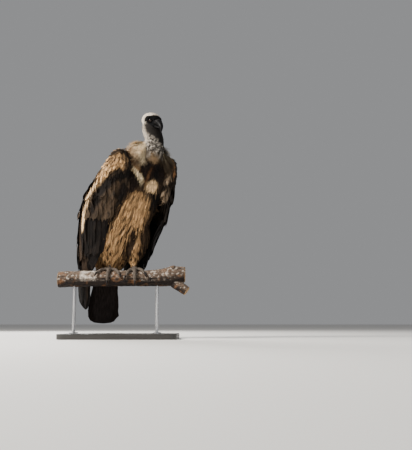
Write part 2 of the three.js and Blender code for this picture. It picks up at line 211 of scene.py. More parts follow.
def put_attribute(mesh, name, kind, domain, values):
    """A named attribute on a mesh. Colours and vectors are rows."""
    if name in mesh.attributes:
        mesh.attributes.remove(mesh.attributes[name])
    attribute = mesh.attributes.new(name, kind, domain)
    key = {"FLOAT": "value", "FLOAT_VECTOR": "vector", "FLOAT_COLOR": "color", "FLOAT2": "vector"}[kind]
    values = np.asarray(values, np.float32)
    if kind == "FLOAT_COLOR" and values.shape[1] == 3:
        values = np.column_stack([values, np.ones(len(values), np.float32)])
    attribute.data.foreach_set(key, values.ravel())


def tint_all(obj, tint):
    """Gives every point of an object one colour."""
    put_attribute(obj.data, "Tint", "FLOAT_COLOR", "POINT", np.tile(tint, (len(obj.data.vertices), 1)))


def joined_solids(names, matrix=None):
    """Points and triangles of several CAD nodes as one list, and which node each triangle is of."""
    points, triangles, owner, start = [], [], [], 0
    for index, name in enumerate(names):
        mesh = frame["nodes"][name].data
        mesh.calc_loop_triangles()
        co = coordinates(mesh)
        tri = np.empty(len(mesh.loop_triangles) * 3, np.int64)
        mesh.loop_triangles.foreach_get("vertices", tri)
        points.append(co if matrix is None else place(matrix, co))
        triangles.append(tri.reshape(-1, 3) + start)
        owner += [index] * (len(tri) // 3)
        start += len(co)
    return np.concatenate(points), np.concatenate(triangles), np.array(owner)


def surface_tree(points, triangles):
    return BVHTree.FromPolygons(points.tolist(), triangles.tolist())


def only_mesh(obj, name):
    """The object with its modifiers worked in, as a new plain mesh object."""
    graph = bpy.context.evaluated_depsgraph_get()
    mesh = bpy.data.meshes.new_from_object(obj.evaluated_get(graph), depsgraph=graph)
    mesh.name = name
    made = bpy.data.objects.new(name, mesh)
    bpy.context.scene.collection.objects.link(made)
    return made


def discard(*objects):
    for obj in objects:
        data = obj.data
        bpy.data.objects.remove(obj)
        if data is not None and data.users == 0 and isinstance(data, bpy.types.Mesh):
            bpy.data.meshes.remove(data)


def finish_piece(obj, material, replaces=()):
    """Gives a piece its finish, its body and the CAD nodes it stands for."""
    obj.data.materials.clear()
    obj.data.materials.append(material)
    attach(obj, "root")
    if replaces:
        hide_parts(*replaces)
    return obj


def loft(rows, around, count, across=(1, 0, 0), power=1.0):
    """A closed tube through rows of x, y, z, half width, under and over, in any one frame."""
    rows = curve_through(rows, count)
    centre = rows[:, :3]
    tangent = unit(np.gradient(centre, axis=0))
    over = unit(np.cross(tangent, np.array(across, float)))
    side = unit(np.cross(over, tangent))
    over = unit(np.cross(tangent, side))
    angles = np.arange(around) * 2 * math.pi / around
    cos, sin = np.cos(angles), np.sin(angles)
    cos = np.sign(cos) * np.abs(cos) ** power
    up = np.where(sin > 0, rows[:, 5:6], rows[:, 4:5]) * sin
    rings = centre[:, None] + side[:, None] * (rows[:, 3:4] * cos)[..., None] + over[:, None] * up[..., None]
    points = np.concatenate([centre[:1], rings.reshape(-1, 3), centre[-1:]])
    ring = lambda i, k: 1 + i * around + k % around
    faces = [(0, ring(0, k + 1), ring(0, k)) for k in range(around)]
    for i in range(count - 1):
        faces += [(ring(i, k), ring(i, k + 1), ring(i + 1, k + 1), ring(i + 1, k)) for k in range(around)]
    end = len(points) - 1
    faces += [(ring(count - 1, k), ring(count - 1, k + 1), end) for k in range(around)]
    return points, faces


def outwards(mesh):
    """Makes a closed mesh's faces point out."""
    work = bmesh.new()
    work.from_mesh(mesh)
    bmesh.ops.remove_doubles(work, verts=work.verts, dist=1e-7)
    bmesh.ops.recalc_face_normals(work, faces=work.faces)
    work.to_mesh(mesh)
    work.free()


# ------------------------------------------------------------------ markings


def front_of(normal):
    """How far a bird-frame normal looks forwards and down rather than back and up."""
    return smooth(-0.35, 0.25, -(0.9 * normal[:, 1] + 0.35 * normal[:, 2]))


def cap_of(p):
    """1 on the pale cap and nape, 0 on the bare dark face, for points in the head's frame."""
    rim = 21 - 1.6 * np.maximum(p[:, 2] - 6, 0) - 0.3 * np.maximum(-5 - p[:, 2], 0)
    return smooth(-5, 7, p[:, 1] - rim + 2 * np.sin(p[:, 2] * 0.4) + 4 * speckle(p, 7, 4.4))


def bare_throat_of(p, normal):
    """1 on the bare dark skin of the throat, which runs down the front of the neck's top, and lower on the bird's left
    side, where it is partly painted shade.
    """
    rim = 537 - 0.84 * p[:, 0]
    return smooth(-7, 7, p[:, 2] - rim + 5 * speckle(p, 6, 7.7)) * (1 - nape_of(p, normal))


def curls_of(p):
    """How thick the down is on the neck: a net of pale curls with dark skin between."""
    return smooth(-0.04, 0.24, speckle(p, 5.0, 2.2) + 0.5 * speckle(p, 2.6, 6.1))


def nape_of(p, normal):
    """1 down the back and sides of the neck, where the down is close and pale."""
    return smooth(-0.50, 0.05, normal[:, 1] + 0.12 * speckle(p, 9, 1.3)) * smooth(455, 515, p[:, 2])


def blend(base, tint, mask):
    """Colours moved towards one colour by a mask."""
    return base + (np.array(tint) - base) * (np.clip(mask, 0, 1) * np.ones(len(base)))[:, None]


# Where the markings and the painted light and shade run, as points in the bird's frame, in millimetres.
LEFT_WRIST = [(139, -165, 462), (141, -174, 434), (150, -163, 405)]
# Painted shade: a dark band below the right wrist and along the inner side of its ridge.
SHADE_BESIDE_RIDGE = [
    (-86, -196, 376), (-116, -176, 368), (-138, -156, 352), (-152, -122, 326),
    (-160, -84, 294), (-160, -46, 258), (-152, -18, 216), (-144, 10, 165),
]
# The right wing's ridge, pale partly from its buff-edged coverts and partly as a painted highlight.
RIDGE = [
    (-152, -150, 398), (-164, -108, 352), (-174, -63, 316), (-178, -24, 276),
    (-176, 6, 236), (-171, 27, 196), (-168, 42, 160),
]
# Painted shadow: a dark band over the top of the right wrist and down its inner side.
SHADOW_OVER_WRIST = [
    (-146, -166, 462), (-134, -178, 472), (-118, -192, 470), (-104, -199, 462),
    (-88, -206, 444), (-80, -208, 414), (-72, -202, 380),
]
CROP_MIDDLE = [(6, -220, 404), (-6, -200, 352)]
CROP_EDGE = [
    (-56, -165, 470), (-60, -168, 448), (-60, -184, 408),
    (-48, -196, 384), (-32, -198, 364), (-20, -190, 334),
]
UNDER_RUFF = [(-26, -220, 446), (2, -228, 446), (22, -228, 440)]
# Painted shadow: a dark band under the pale breast patch.
SHADOW_UNDER_BREAST = [(-34, -186, 336), (0, -182, 322), (26, -172, 308), (52, -158, 292)]
# Painted shade between the legs.
SHADE_BETWEEN_LEGS = [(18, -72, 196), (17, -50, 134), (10, -16, 60)]
# Painted shade down the right flank, between the wing and the belly.
RIGHT_FLANK_SHADE = [(-70, -140, 306), (-75, -108, 258), (-78, -78, 222)]

# The pale belly's left edge, past which the flank gets painted shade: how far out it is, at which height, and how fast
# it narrows.
BELLY_WIDEST, BELLY_HEIGHT, BELLY_NARROWING, BELLY_LEAST = 61, 220, 0.15, 46


def wing_markings(tints, wing, p, name):
    """A wing's colours, with painted light and shade, for its small feathers and its long ones alike."""
    mottle, fine = speckle(p, 24, 3.1), speckle(p, 8, 8.4)
    drawn = speckle(p * np.array([1, 1, 0.25]), 9, 5.2)
    small = smooth(190, 270, p[:, 2])
    wing = blend(wing, tints["mantle"], (0.12 + 0.68 * small) * smooth(-0.1, 0.4, drawn))
    wing = blend(wing, tints["flight"], 0.8 * smooth(0.15, 0.45, -drawn) * (1 - smooth(-70, 0, p[:, 1])))
    if name == "left":
        # The left wing's forward part is made nearly black, partly its own dark brown and partly painted shade.
        wing = blend(wing, tints["flight"], 0.7 * (1 - smooth(20, 90, p[:, 1])))
        for centre, radii in (((116, -178, 382), (19, 36, 34)), ((124, -130, 320), (28, 50, 48))):
            wing = blend(wing, tints["rump"], 0.85 * blob(p, centre, radii) * smooth(-0.5, 0.1, drawn))
        return blend(wing, tints["rust"], 0.9 * strip(p, LEFT_WRIST, 15 + 4 * fine))

    # The pale wrist, and the ridge that runs on from it, pale partly from buff-edged coverts and partly as a painted
    # highlight; the dark above and below them is painted shade.
    low = np.interp(p[:, 1], [-172, -142, -122, -100, -70], [397, 370, 354, 330, 306])
    wrist = smooth(-7, 7, p[:, 2] - low + 6 * fine + 5 * mottle) * (1 - smooth(-118, -92, p[:, 1]))
    wing = blend(wing, tints["buff"], 0.86 * wrist)
    # Painted shade below the wrist and along the ridge's inner side.
    under = np.interp(p[:, 2], [220, 330], [19, 27]) + 4 * fine
    wing = blend(wing, tints["flight"], 0.95 * strip(p, SHADE_BESIDE_RIDGE, under))
    ridge = np.array(RIDGE)
    # The ridge's feathers stand out at different heights, so distance counts mostly across the wing's face.
    across = np.array([0.35, 1, 1])
    width = np.interp(p[:, 2], [150, 236, 300, 380], [9, 13, 16, 17])
    # Partly a painted highlight along the ridge.
    wing = blend(wing, tints["buff_light"], 0.95 * strip(p * across, ridge * across, width + 4 * mottle))
    on_ridge = strip(p * across, ridge * across, width)
    wing = blend(wing, tints["buff"], 0.8 * on_ridge * smooth(320, 360, p[:, 2]))
    pale = np.maximum(wrist, on_ridge)
    barred = speckle(p * np.array([1, 1, 0.5]), 7, 8.4)
    wing = blend(wing, tints["mantle"], 0.9 * pale * smooth(-0.02, 0.3, barred))
    behind = p[:, 1] - np.interp(p[:, 2], ridge[::-1, 2], ridge[::-1, 1])
    margin = smooth(17, 27, behind + 4 * fine) * (1 - smooth(55, 85, behind)) * (1 - smooth(400, 430, p[:, 2]))
    wing = blend(wing, 0.5 * (tints["flight"] + tints["mantle"]), 0.9 * margin)
    # Painted shade on the inner front face of the wing.
    wing = blend(wing, tints["flight"], 0.9 * blob(p, (-84, -150, 290), (30, 46, 96)))
    # Painted shadow over the top of the wrist.
    return blend(wing, tints["flight"], 0.97 * strip(p, SHADOW_OVER_WRIST, 29 + 5 * fine))


def trunk_colour(tints, p, normal):
    """Trunk and thighs: buff below, dark brown above, with a pale rump under the wings."""
    mottle, fine = speckle(p, 21, 3.1), speckle(p, 7, 8.4)
    ragged = 7 * mottle + 5 * fine
    front = front_of(normal)
    body = np.tile(np.array(tints["mantle"]), (len(p), 1))
    rump = (1 - front) * (1 - smooth(150, 215, p[:, 2])) * smooth(0, 45, p[:, 1])
    body = blend(body, tints["rump"], rump)
    buff = np.array(tints["buff"]) * (1 + 0.16 * mottle + 0.12 * fine)[:, None]
    body = body + (buff - body) * front[:, None]
    # The belly's dark streaks: partly darker feathers and partly painted shade between clumps of feathers.
    drawn = speckle(p * np.array([1, 1, 0.25]), 8.5, 6.6)
    streaks = smooth(0.02, 0.28, drawn + 0.2 * fine) * (0.7 + 0.25 * (1 - smooth(210, 270, p[:, 2])))
    body = blend(body, tints["crop"], front * streaks)
    # The dark crop patch, its own dark brown widened and deepened by painted shade, with painted shade beside it on the
    # bird's left.
    body = blend(body, tints["crop"], 1.3 * blob(p, (12, -215, 398), (78, 62, 92)))
    body = blend(body, tints["flight"], 1.2 * blob(p, (52, -205, 384), (46, 60, 62)))

    # The pale belly is widest at one height and narrows above and below it; past its left edge the flank is darkened as
    # painted shade.
    side = np.maximum(BELLY_WIDEST - BELLY_NARROWING * np.abs(p[:, 2] - BELLY_HEIGHT), BELLY_LEAST)
    beside = smooth(-12, 12, p[:, 0] - side + 5 * mottle)
    body = blend(body, tints["crop"], 0.96 * beside * np.maximum(front, 1 - smooth(-20, 30, p[:, 1])))
    # Painted shadow of the right wing on the breast.
    body = blend(body, tints["crop"], 1.3 * blob(p, (-64, -165, 346), (50, 62, 70)))

    # The crop's edges, then the breast patch, a painted pool of light with painted shadow round it, then painted shade
    # on the flanks and between the legs.
    body = blend(body, tints["rust"], 0.45 * strip(p, CROP_MIDDLE, 8 + 0.7 * ragged))
    down = 8 + 0.6 * ragged + 4 * (1 - smooth(350, 390, p[:, 2]))
    body = blend(body, tints["down"], strip(p, CROP_EDGE, down))
    body = blend(body, tints["ruff_shade"], 0.6 * strip(p, UNDER_RUFF, 17 + 0.5 * ragged))
    # Painted shadow under the breast patch.
    body = blend(body, tints["crop"], 0.95 * strip(p, SHADOW_UNDER_BREAST, 27 + 0.5 * ragged))
    # Painted pool of light: the pale breast patch.
    body = blend(body, tints["buff_light"], 1.3 * blob(p, (29, -187, 334), (37, 46, 34)))
    # Painted shade on the bird's left flank.
    body = blend(body, tints["flight"], 1.1 * blob(p, (74, -138, 292), (42, 62, 44)))
    # Painted shade between the legs.
    between = 15 + 17 * (1 - smooth(120, 190, p[:, 2]))
    body = blend(body, tints["crop"], 0.97 * strip(p, SHADE_BETWEEN_LEGS, between))
    # Painted shade down the right flank.
    return blend(body, tints["crop"], 0.95 * strip(p, RIGHT_FLANK_SHADE, 17 + 0.5 * ragged))


def ruff_colour(tints, p):
    """Cream, browner at the ruff's outer foot and rusty on the bird's right, dark on its left partly as painted shade.
    """
    mottle, fine = speckle(p, 21, 3.1), speckle(p, 7, 8.4)
    cream = blend(np.tile(np.array(tints["ruff"]), (len(p), 1)), tints["ruff_shade"], 0.2 + 0.9 * fine)
    foot = 1 - smooth(424, 450, p[:, 2] - 0.15 * np.abs(p[:, 0] - 24))
    cream = blend(cream, tints["mantle"], 0.8 * foot)
    # Dark on the bird's left side, partly as painted shade.
    cream = blend(cream, tints["mantle"], 0.8 * smooth(46, 84, p[:, 0] + 10 * mottle))
    return blend(cream, tints["rust"], 0.75 * smooth(34, 66, -p[:, 0] + 10 * mottle))


def neck_colour(tints, p, normal):
    """Dark skin with pale down, paler up the nape, and a collar at the neck's foot."""
    thick = np.maximum(0.95 * curls_of(p), nape_of(p, normal))
    neck = blend(np.tile(np.array(tints["neck_skin"]), (len(p), 1)), tints["cap"], thick)
    neck = blend(neck, tints["face"], bare_throat_of(p, normal))
    # The collar is darker on the bird's left, partly as painted shade.
    dark = 0.25 + 0.6 * smooth(10, 50, p[:, 0]) + 0.5 * speckle(p, 7, 8.4)
    collar = blend(np.tile(np.array(tints["ruff_shade"]), (len(p), 1)), tints["crop"], dark)
    return neck + (collar - neck) * (1 - smooth(446, 476, p[:, 2]))[:, None]


def plumage(tints, p, normal, region):
    """The colour of the bird at points in its frame, the same for skin and for what grows on it."""
    head_points = place(HEAD.inverted() @ BIRD, p)
    out = trunk_colour(tints, p, normal)
    out = np.where((region == "ruff")[:, None], ruff_colour(tints, p), out)
    out = np.where((region == "neck")[:, None], neck_colour(tints, p, normal), out)
    head = blend(np.tile(np.array(tints["face"]), (len(p), 1)), tints["cap"], cap_of(head_points))
    out = np.where((region == "head")[:, None], head, out)
    for name in SIDES:
        wing = wing_markings(tints, np.tile(np.array(tints["coverts"]), (len(p), 1)), p, name)
        out = np.where((region == f"wing_{name}_coverts")[:, None], wing, out)
    scale = np.array(tints["scale"]) * (1 + 0.2 * speckle(p, 7, 8.4))[:, None]
    foot = np.char.startswith(region, "toe") | np.char.startswith(region, "tarsus")
    return np.clip(np.where(foot[:, None], scale, out), 0.002, 1)


# ------------------------------------------------------------------ skin

COAT_DEPTH = {"trunk": 12, "ruff": 30, "neck": 3, "head": 1.0, "wing": 8, "thigh": 9, "tarsus": 0.2, "toe": 0.2}


def region_names(points):
    """The flesh node that each point, in metres, is nearest."""
    solid, triangles, owner = joined_solids(FLESH)
    tree = surface_tree(solid, triangles)
    nearest = [tree.find_nearest(Vector(p))[2] for p in points]
    return np.array(FLESH)[owner[nearest]]


def flesh_object():
    """Copies of the flesh nodes and eyes, a little fattened so that they meet, as one object."""
    work = bmesh.new()
    for name in FLESH + ["eye_right", "eye_left"]:
        part = bmesh.new()
        part.from_mesh(frame["nodes"][name].data)
        bmesh.ops.remove_doubles(part, verts=part.verts, dist=1e-6)
        part.normal_update()
        for v in part.verts:
            v.co += v.normal * 0.8 * MM
        scratch = bpy.data.meshes.new("part")
        part.to_mesh(scratch)
        part.free()
        work.from_mesh(scratch)
        bpy.data.meshes.remove(scratch)
    mesh = bpy.data.meshes.new("flesh")
    work.to_mesh(mesh)
    work.free()
    obj = bpy.data.objects.new("flesh", mesh)
    bpy.context.scene.collection.objects.link(obj)
    return obj


def remeshed(obj, name, size):
    """One even closed surface round all of an object."""
    modifier = obj.modifiers.new("Even", "REMESH")
    modifier.mode = "VOXEL"
    modifier.voxel_size = size * MM
    made = only_mesh(obj, name)
    discard(obj)
    return made


def refine(mesh, wanted):
    """Divides the faces whose points are all wanted."""
    work = bmesh.new()
    work.from_mesh(mesh)
    work.verts.ensure_lookup_table()
    edges = [e for e in work.edges if wanted[e.verts[0].index] and wanted[e.verts[1].index]]
    bmesh.ops.subdivide_edges(work, edges=edges, cuts=1, use_grid_fill=True, smooth=0.6)
    work.to_mesh(mesh)
    work.free()


def room_inside(points, normal, tree, most):
    """How thick the body is under each point, up to a most, all in metres."""
    depth = np.full(len(points), most)
    for i, (p, n) in enumerate(zip(points, normal)):
        p, n = Vector(p), Vector(n)
        hit = tree.ray_cast(p - n * 1e-4, -n, most)
        if hit[0] is not None:
            depth[i] = hit[3]
    return depth


# Folds of the face: each is a line in the head's frame, how deep it is (raised if negative) and
# half its width.
FOLDS = [
    ([(13.5, -37, -10.5), (19, -26, -13), (25, -12, -19), (27, 2, -25)], 1.5, 1.8),  # gape
    ([(15, -36, -14.5), (21, -24, -18), (26, -10, -24)], -0.9, 2.2),  # lip under it
    ([(14, -34, 9), (19, -26, 10.5), (24, -14, 11.5), (28, 0, 9.5), (30, 10, 5)], -2.3, 3.4),  # brow
    ([(22, -27, 1), (27, -15, -9.5), (30, -2, -8.5)], 0.8, 1.6),  # under the eye
    ([(24, -22, -6), (29, -8, -14), (31, 6, -14)], 0.6, 1.5),
    ([(5, -36, 13), (7, -22, 20), (8, -8, 24)], 0.5, 1.2),
    ([(10, -34, 12), (13, -22, 18), (15, -8, 22)], 0.5, 1.2),
    ([(22, -16, -27), (26, -2, -31), (27, 12, -34)], 0.8, 1.8),  # jaw
]


def sculpt_face(p):
    """Lids, brow, gape, folds and ear of the head, for points in its frame."""
    mirror = np.where(p[:, :1] < 0, -1.0, 1.0) * np.array([[1, 0, 0]]) + np.array([[0, 1, 1]])
    q = p * mirror
    outward = unit(q * np.array([1.0, 0.25, 1.0]) - np.array([0, 0.0, -4.0]))
    for path, depth, half in FOLDS:
        q = q - outward * (depth * strip(q, path, 2 * half))[:, None]
    q = q - outward * (2.2 * blob(q, (31, 19, -5), (5, 5, 6)))[:, None]

    axis = unit(EYE["axis"])
    ahead = unit(np.cross(axis, (0, 0, 1.0)))
    ahead = ahead if ahead[1] < 0 else -ahead
    above = unit(np.cross(axis, ahead))
    above = above if above[2] > 0 else -above
    d = q - EYE["at"]
    f, g, h = d @ ahead, d @ above, d @ axis
    rho = np.hypot(f, g)
    facing = h > -4
    lid = np.sqrt(np.maximum((EYE["radius"] + 1.5) ** 2 - rho**2, 4))
    # The upper lid comes lower over the eye than the lower lid comes up.
    opening = (f / 8.0) ** 2 + (g / np.where(g > 0, 3.9, 4.7)) ** 2
    fold = 0.8 * np.exp(-(((opening - 1.35) / 0.35) ** 2))
    ring = facing * (1 - smooth(9.5, 15, rho))
    h = h + ring * (lid + fold - h)
    inside = facing * (1 - smooth(0.8, 1.05, opening))
    h = h + inside * (np.sqrt(np.maximum(EYE["radius"] ** 2 - rho**2, 1)) - 2.5 - h)
    q = EYE["at"] + f[:, None] * ahead + g[:, None] * above + h[:, None] * axis
    return q * mirror


def make_skin():
    """One skin for all the flesh, inside it by the coat's depth, with its face and feet shaped.
    Gives the skin, each point's node and depth, and how deep it is in a groove between scutes."""
    solid, triangles, _ = joined_solids(FLESH)
    skin = remeshed(flesh_object(), "skin", 4.6)
    mesh = skin.data
    ends = edge_ends(mesh)
    set_coordinates(mesh, relaxed(coordinates(mesh), ends, 3))
    for divided in (("head", "toe", "neck"), ("head", "toe")):
        region = region_names(coordinates(mesh))
        refine(mesh, np.isin([name.split("_")[0] for name in region], divided))
    ends = edge_ends(mesh)
    co = relaxed(coordinates(mesh), ends, 3)
    set_coordinates(mesh, co)

    region = region_names(co)
    kind = np.array([name.split("_")[0] for name in region])
    depth = np.array([COAT_DEPTH[k] for k in kind]) * MM
    tree = surface_tree(solid, triangles)
    normal = normals(mesh)
    thick = room_inside(co, normal, tree, 0.09)
    depth = np.minimum(depth, 0.36 * thick)
    depth = relaxed(depth, ends, 12)
    depth = np.where(np.isin(kind, ["toe", "tarsus"]), 0.2 * MM, depth)
    co = relaxed(co - normal * depth[:, None], ends, 2)
    set_coordinates(mesh, co)

    p = place(HEAD.inverted(), co)
    joint = smooth(4, 20, p[:, 1]) * np.isin(region, ["head", "neck"]) * smooth(-75, -50, p[:, 2])
    co = co + (relaxed(co, ends, 60) - co) * (0.85 * joint)[:, None]
    p = place(HEAD.inverted(), co)
    on_head = region == "head"
    p[on_head] = sculpt_face(p[on_head])
    co = np.where(on_head[:, None], place(HEAD, p), co)
    set_coordinates(mesh, co)

    # Scutes across the tops of the toes and down the shanks.
    out = normals(mesh)
    wrap = np.arctan2(-co[:, 1], co[:, 2] - PERCH_AXIS)
    along_toe = wrap * (PERCH_RADIUS / MM + 9) * (1 - 2 * (kind == "tarsus")) + (kind == "tarsus") * co[:, 2] / MM
    band = np.abs(np.sin(np.pi * along_toe / SCUTE)) ** 0.6
    away = unit(co * np.array([0, 1, 1]) - np.array([0, 0, PERCH_AXIS]))
    top = np.where(kind == "tarsus", 1.0, smooth(0.0, 0.6, np.sum(away * out, axis=1)))
    foot = np.isin(kind, ["toe", "tarsus"])
    set_coordinates(mesh, co + out * (foot * top * (band - 0.6) * 1.1 * MM)[:, None])
    groove = np.where(foot, top * (1 - band), 0.0)
    return skin, region, depth, groove


def dress_skin(skin, region, depth, groove, tints):
    """Gives the skin its colours, its map, and what the coat has to know at each point."""
    mesh = skin.data
    co = coordinates(mesh)
    up = normals(mesh)
    ends = edge_ends(mesh)
    p = place(BIRD.inverted(), co)
    head_points = place(HEAD.inverted(), co)
    n = turn(BIRD.inverted(), up)
    broad = unit(relaxed(n, ends, 8))
    lie = relaxed(lie_of(p, broad, region, head_points), ends, 12)
    lie = unit(lie - n * np.sum(lie * n, axis=1)[:, None])
    kind = np.array([name.split("_")[0] for name in region])
    size = size_of_feathers(p, kind, head_points)
    breast = smooth(285, 335, p[:, 2]) * front_of(broad) * (kind == "trunk")
    reach = relaxed(np.array([COAT_REACH[k] for k in kind]) * size * (1 - 0.45 * breast), ends, 6)
    # The skin is darkened in the grooves between scutes as painted shade.
    tint = relaxed(plumage(tints, p, broad, region), ends, 1) * (1 - 0.6 * groove)[:, None]
    tint = blend(tint, tints["neck_skin"], 0.72 * (kind == "neck") * (1 - nape_of(p, broad)))
    coat_tint = plumage(tints, p + lie * 0.6 * reach[:, None], broad, region)
    put_attribute(mesh, "Tint", "FLOAT_COLOR", "POINT", tint)
    put_attribute(mesh, "CoatTint", "FLOAT_COLOR", "POINT", coat_tint)
    put_attribute(mesh, "up", "FLOAT_VECTOR", "POINT", unit(relaxed(up, ends, 3)))
    put_attribute(mesh, "lie", "FLOAT_VECTOR", "POINT", turn(BIRD, lie))
    put_attribute(mesh, "depth", "FLOAT", "POINT", depth)
    put_attribute(mesh, "size", "FLOAT", "POINT", size)
    for name, mask in coat_masks(p, broad, region, head_points).items():
        put_attribute(mesh, name, "FLOAT", "POINT", mask)
    unwrap(skin)


def unwrap(obj):
    """A map of an object's own shape, cut where it turns sharply."""
    for other in bpy.context.selected_objects:
        other.select_set(False)
    obj.select_set(True)
    bpy.context.view_layer.objects.active = obj
    obj.data.uv_layers.new(name="OFBake")
    bpy.ops.object.mode_set(mode="EDIT")
    bpy.ops.mesh.select_all(action="SELECT")
    bpy.ops.uv.smart_project(angle_limit=math.radians(80), island_margin=0.001)
    bpy.ops.object.mode_set(mode="OBJECT")
    obj.select_set(False)


# ------------------------------------------------------------------ lie of the coat

COAT_REACH = {"trunk": 55, "ruff": 50, "neck": 6, "head": 6, "wing": 34, "thigh": 45, "tarsus": 1, "toe": 1}


def size_of_feathers(p, kind, head_points):
    """How big feathers are at each place, against the largest of their kind."""
    size = np.ones(len(p))
    trunk = 1 - 0.42 * smooth(250, 400, p[:, 2])
    wing = 0.8 - 0.2 * smooth(330, 460, p[:, 2])
    thigh = 1 - 0.55 * (1 - smooth(60, 150, p[:, 2]))
    size = np.where(kind == "trunk", trunk, size)
    size = np.where(kind == "wing", wing, size)
    size = np.where(kind == "thigh", thigh, size)
    size = np.where(kind == "head", 0.55 + 0.45 * smooth(0, 40, head_points[:, 1]), size)
    return size


def lie_of(p, normal, region, head_points):
    """Which way feathers point at each place, in the bird's frame, along the skin."""
    lie = np.tile(np.array([0.0, 0.52, -0.85]), (len(p), 1))
    lie[:, 0] = 0.10 * np.sign(p[:, 0] - 12) * smooth(0, 60, np.abs(p[:, 0] - 12))
    for name, side in SIDES.items():
        lie[region == f"wing_{name}_coverts"] = (-0.10 * side, 0.60, -0.79)
        lie[region == f"thigh_{name}"] = (0.04 * side, 0.22, -0.97)
    on_ruff = region == "ruff"
    away = unit((p - np.array([25, -196, 0])) * np.array([1, 1, 0]))
    lie[on_ruff] = away[on_ruff] * 0.5 + np.array([0, 0.05, -0.8])
    lie[region == "neck"] = (0, 0.1, -1)
    back = turn(BIRD.inverted() @ HEAD, np.array([[0, 0.93, -0.36]]))[0]
    lie[region == "head"] = back
    wander = np.column_stack([speckle(p, 38, seed) for seed in (1.7, 5.2, 9.9)])
    lie = lie + 0.22 * wander
    lie = lie - normal * np.sum(lie * normal, axis=1)[:, None]
    return unit(lie)


def coat_masks(p, normal, region, head_points):
    """Where each kind of feather grows, from 0 to 1, by the name of its attribute."""
    front = front_of(normal)
    trunk = region == "trunk"
    breast = smooth(285, 335, p[:, 2]) * front
    thigh = np.char.startswith(region, "thigh")
    wing = np.char.startswith(region, "wing")
    outer = np.where(region == "wing_right_coverts", -normal[:, 0], normal[:, 0])
    cap = cap_of(head_points)
    neck = region == "neck"
    bare = bare_throat_of(p, normal)
    curls = curls_of(p)
    nape = nape_of(p, normal)
    return {
        "grow_breast": trunk * breast,
        "grow_belly": trunk * front * (1 - breast),
        "grow_thigh": thigh * 1.0,
        "grow_streaks": np.maximum(trunk * front * (1 - 0.5 * breast), thigh * 0.9),
        "grow_back": trunk * (1 - front) * smooth(58, 74, p[:, 2]),
        "grow_tail_coverts": trunk * (1 - front) * (1 - smooth(84, 104, p[:, 2])) * smooth(40, 50, p[:, 2]),
        "grow_wing": wing * np.maximum(smooth(368, 384, p[:, 2]), smooth(262, 290, p[:, 2]) * (1 - smooth(0.1, 0.35, outer))),
        "grow_wrist": wing * smooth(396, 424, p[:, 2]),
        "grow_ruff": (region == "ruff") * 1.0,
        "grow_neck": neck * (1 - bare) * np.clip(0.4 + 0.6 * curls + nape, 0, 1),
        "grow_collar": (neck | trunk) * smooth(430, 440, p[:, 2]) * (1 - smooth(462, 480, p[:, 2])) * smooth(0.1, 0.4, -normal[:, 1]),
        "grow_cap": (region == "head") * cap + neck * nape * (1 - bare),
        "grow_face": (region == "head") * (1 - cap) * 0.5,
    }


# ------------------------------------------------------------------ feather shapes


def shape_object(name, points, faces, along, rise, places):
    """One feather or tuft: along runs 0 to 1 from root to tip, rise is its height over its own
    base, and places are its points on the feather's own map."""
    obj = mesh_object(name, points, faces)
    put_attribute(obj.data, "along", "FLOAT", "POINT", along)
    put_attribute(obj.data, "rise", "FLOAT", "POINT", rise)
    corners = np.empty(len(obj.data.loops), np.int64)
    obj.data.loops.foreach_get("vertex_index", corners)
    put_attribute(obj.data, "Vane", "FLOAT2", "CORNER", np.asarray(places)[corners])
    return obj


def vane_shape(name, chance, widest=0.55, point=1.0, barbs=9, wide=1.0, slant=0.14, ragged=0.05, crown=0.16, bend=0.0):
    """A contour feather one unit long and one unit wide, of slanting barbs off a shaft."""
    t = np.linspace(0.0, 1.0, barbs + 1)
    half = lambda x: 0.5 * wide * np.sin(np.pi * np.clip(x, 0, 1) ** (math.log(0.5) / math.log(widest))) ** 0.75 \
        * (1 - 0.55 * point * smooth(0.72, 1.0, x)) * smooth(-0.06, 0.10, x)
    drift = bend * t**2
    points, faces, along, rise, places = [], [], [], [], []

    def put(x, y, z, side=0):
        points.append((x, y, z))
        along.append(x)
        rise.append(z)
        places.append((0.5 + 0.5 * side, np.clip(x, 0, 1)))
        return len(points) - 1

    shaft = [put(t[i], drift[i], crown) for i in range(barbs + 1)]
    for side in (-1, 1):
        for i in range(barbs):
            outer = []
            for j, x in ((0, t[i]), (1, t[i + 1])):
                out = half(x + 0.5 * slant) * (1 + chance.uniform(-1.6, 0.6) * ragged)
                ahead = min(x + slant * (1 - x) + chance.uniform(-0.3, 0.3) * ragged - 0.012 * j, 1.0)
                outer.append(put(ahead, drift[i + j] + side * out, -0.25 * crown, side))
            quad = (shaft[i], shaft[i + 1], outer[1], outer[0])
            faces.append(quad if side < 0 else quad[::-1])
    return shape_object(name, points, faces, along, rise, places)


def strand_shape(name, chance, strands, spread, width, segments, lift, wave=0.06, start=0.0):
    """A loose tuft or plume one unit long: thin strands that fan out from a root or a short shaft."""
    points, faces, along, rise, places = [], [], [], [], []
    for k in range(strands):
        f = (k + 0.5) / strands * 2 - 1
        base = start * (1 - abs(f)) * chance.uniform(0.3, 1)
        length = (1 - base) * chance.uniform(0.72, 1.0) * (1 - 0.18 * abs(f))
        phase, tall = chance.uniform(0, 6.28), chance.uniform(0.2, 1.0) * lift
        rows = []
        for j in range(segments + 1):
            x = j / segments
            y = spread * f * x**0.8 + wave * math.sin(phase + 4.2 * x) * x
            z = tall * x * (1 - 0.35 * x)
            half = 0.5 * width * (1 - x) ** 0.7 + 0.002
            row = []
            for e in (-1, 1):
                row.append(len(points))
                points.append((base + length * x, y + e * half, z))
                along.append(min(base + length * x, 1.0))
                rise.append(z)
                places.append((0.5 + 0.45 * f, min(base + length * x, 1)))
            rows.append(row)
        for a, b in zip(rows[:-1], rows[1:]):
            faces.append((a[0], b[0], b[1], a[1]))
    return shape_object(name, points, faces, along, rise, places)


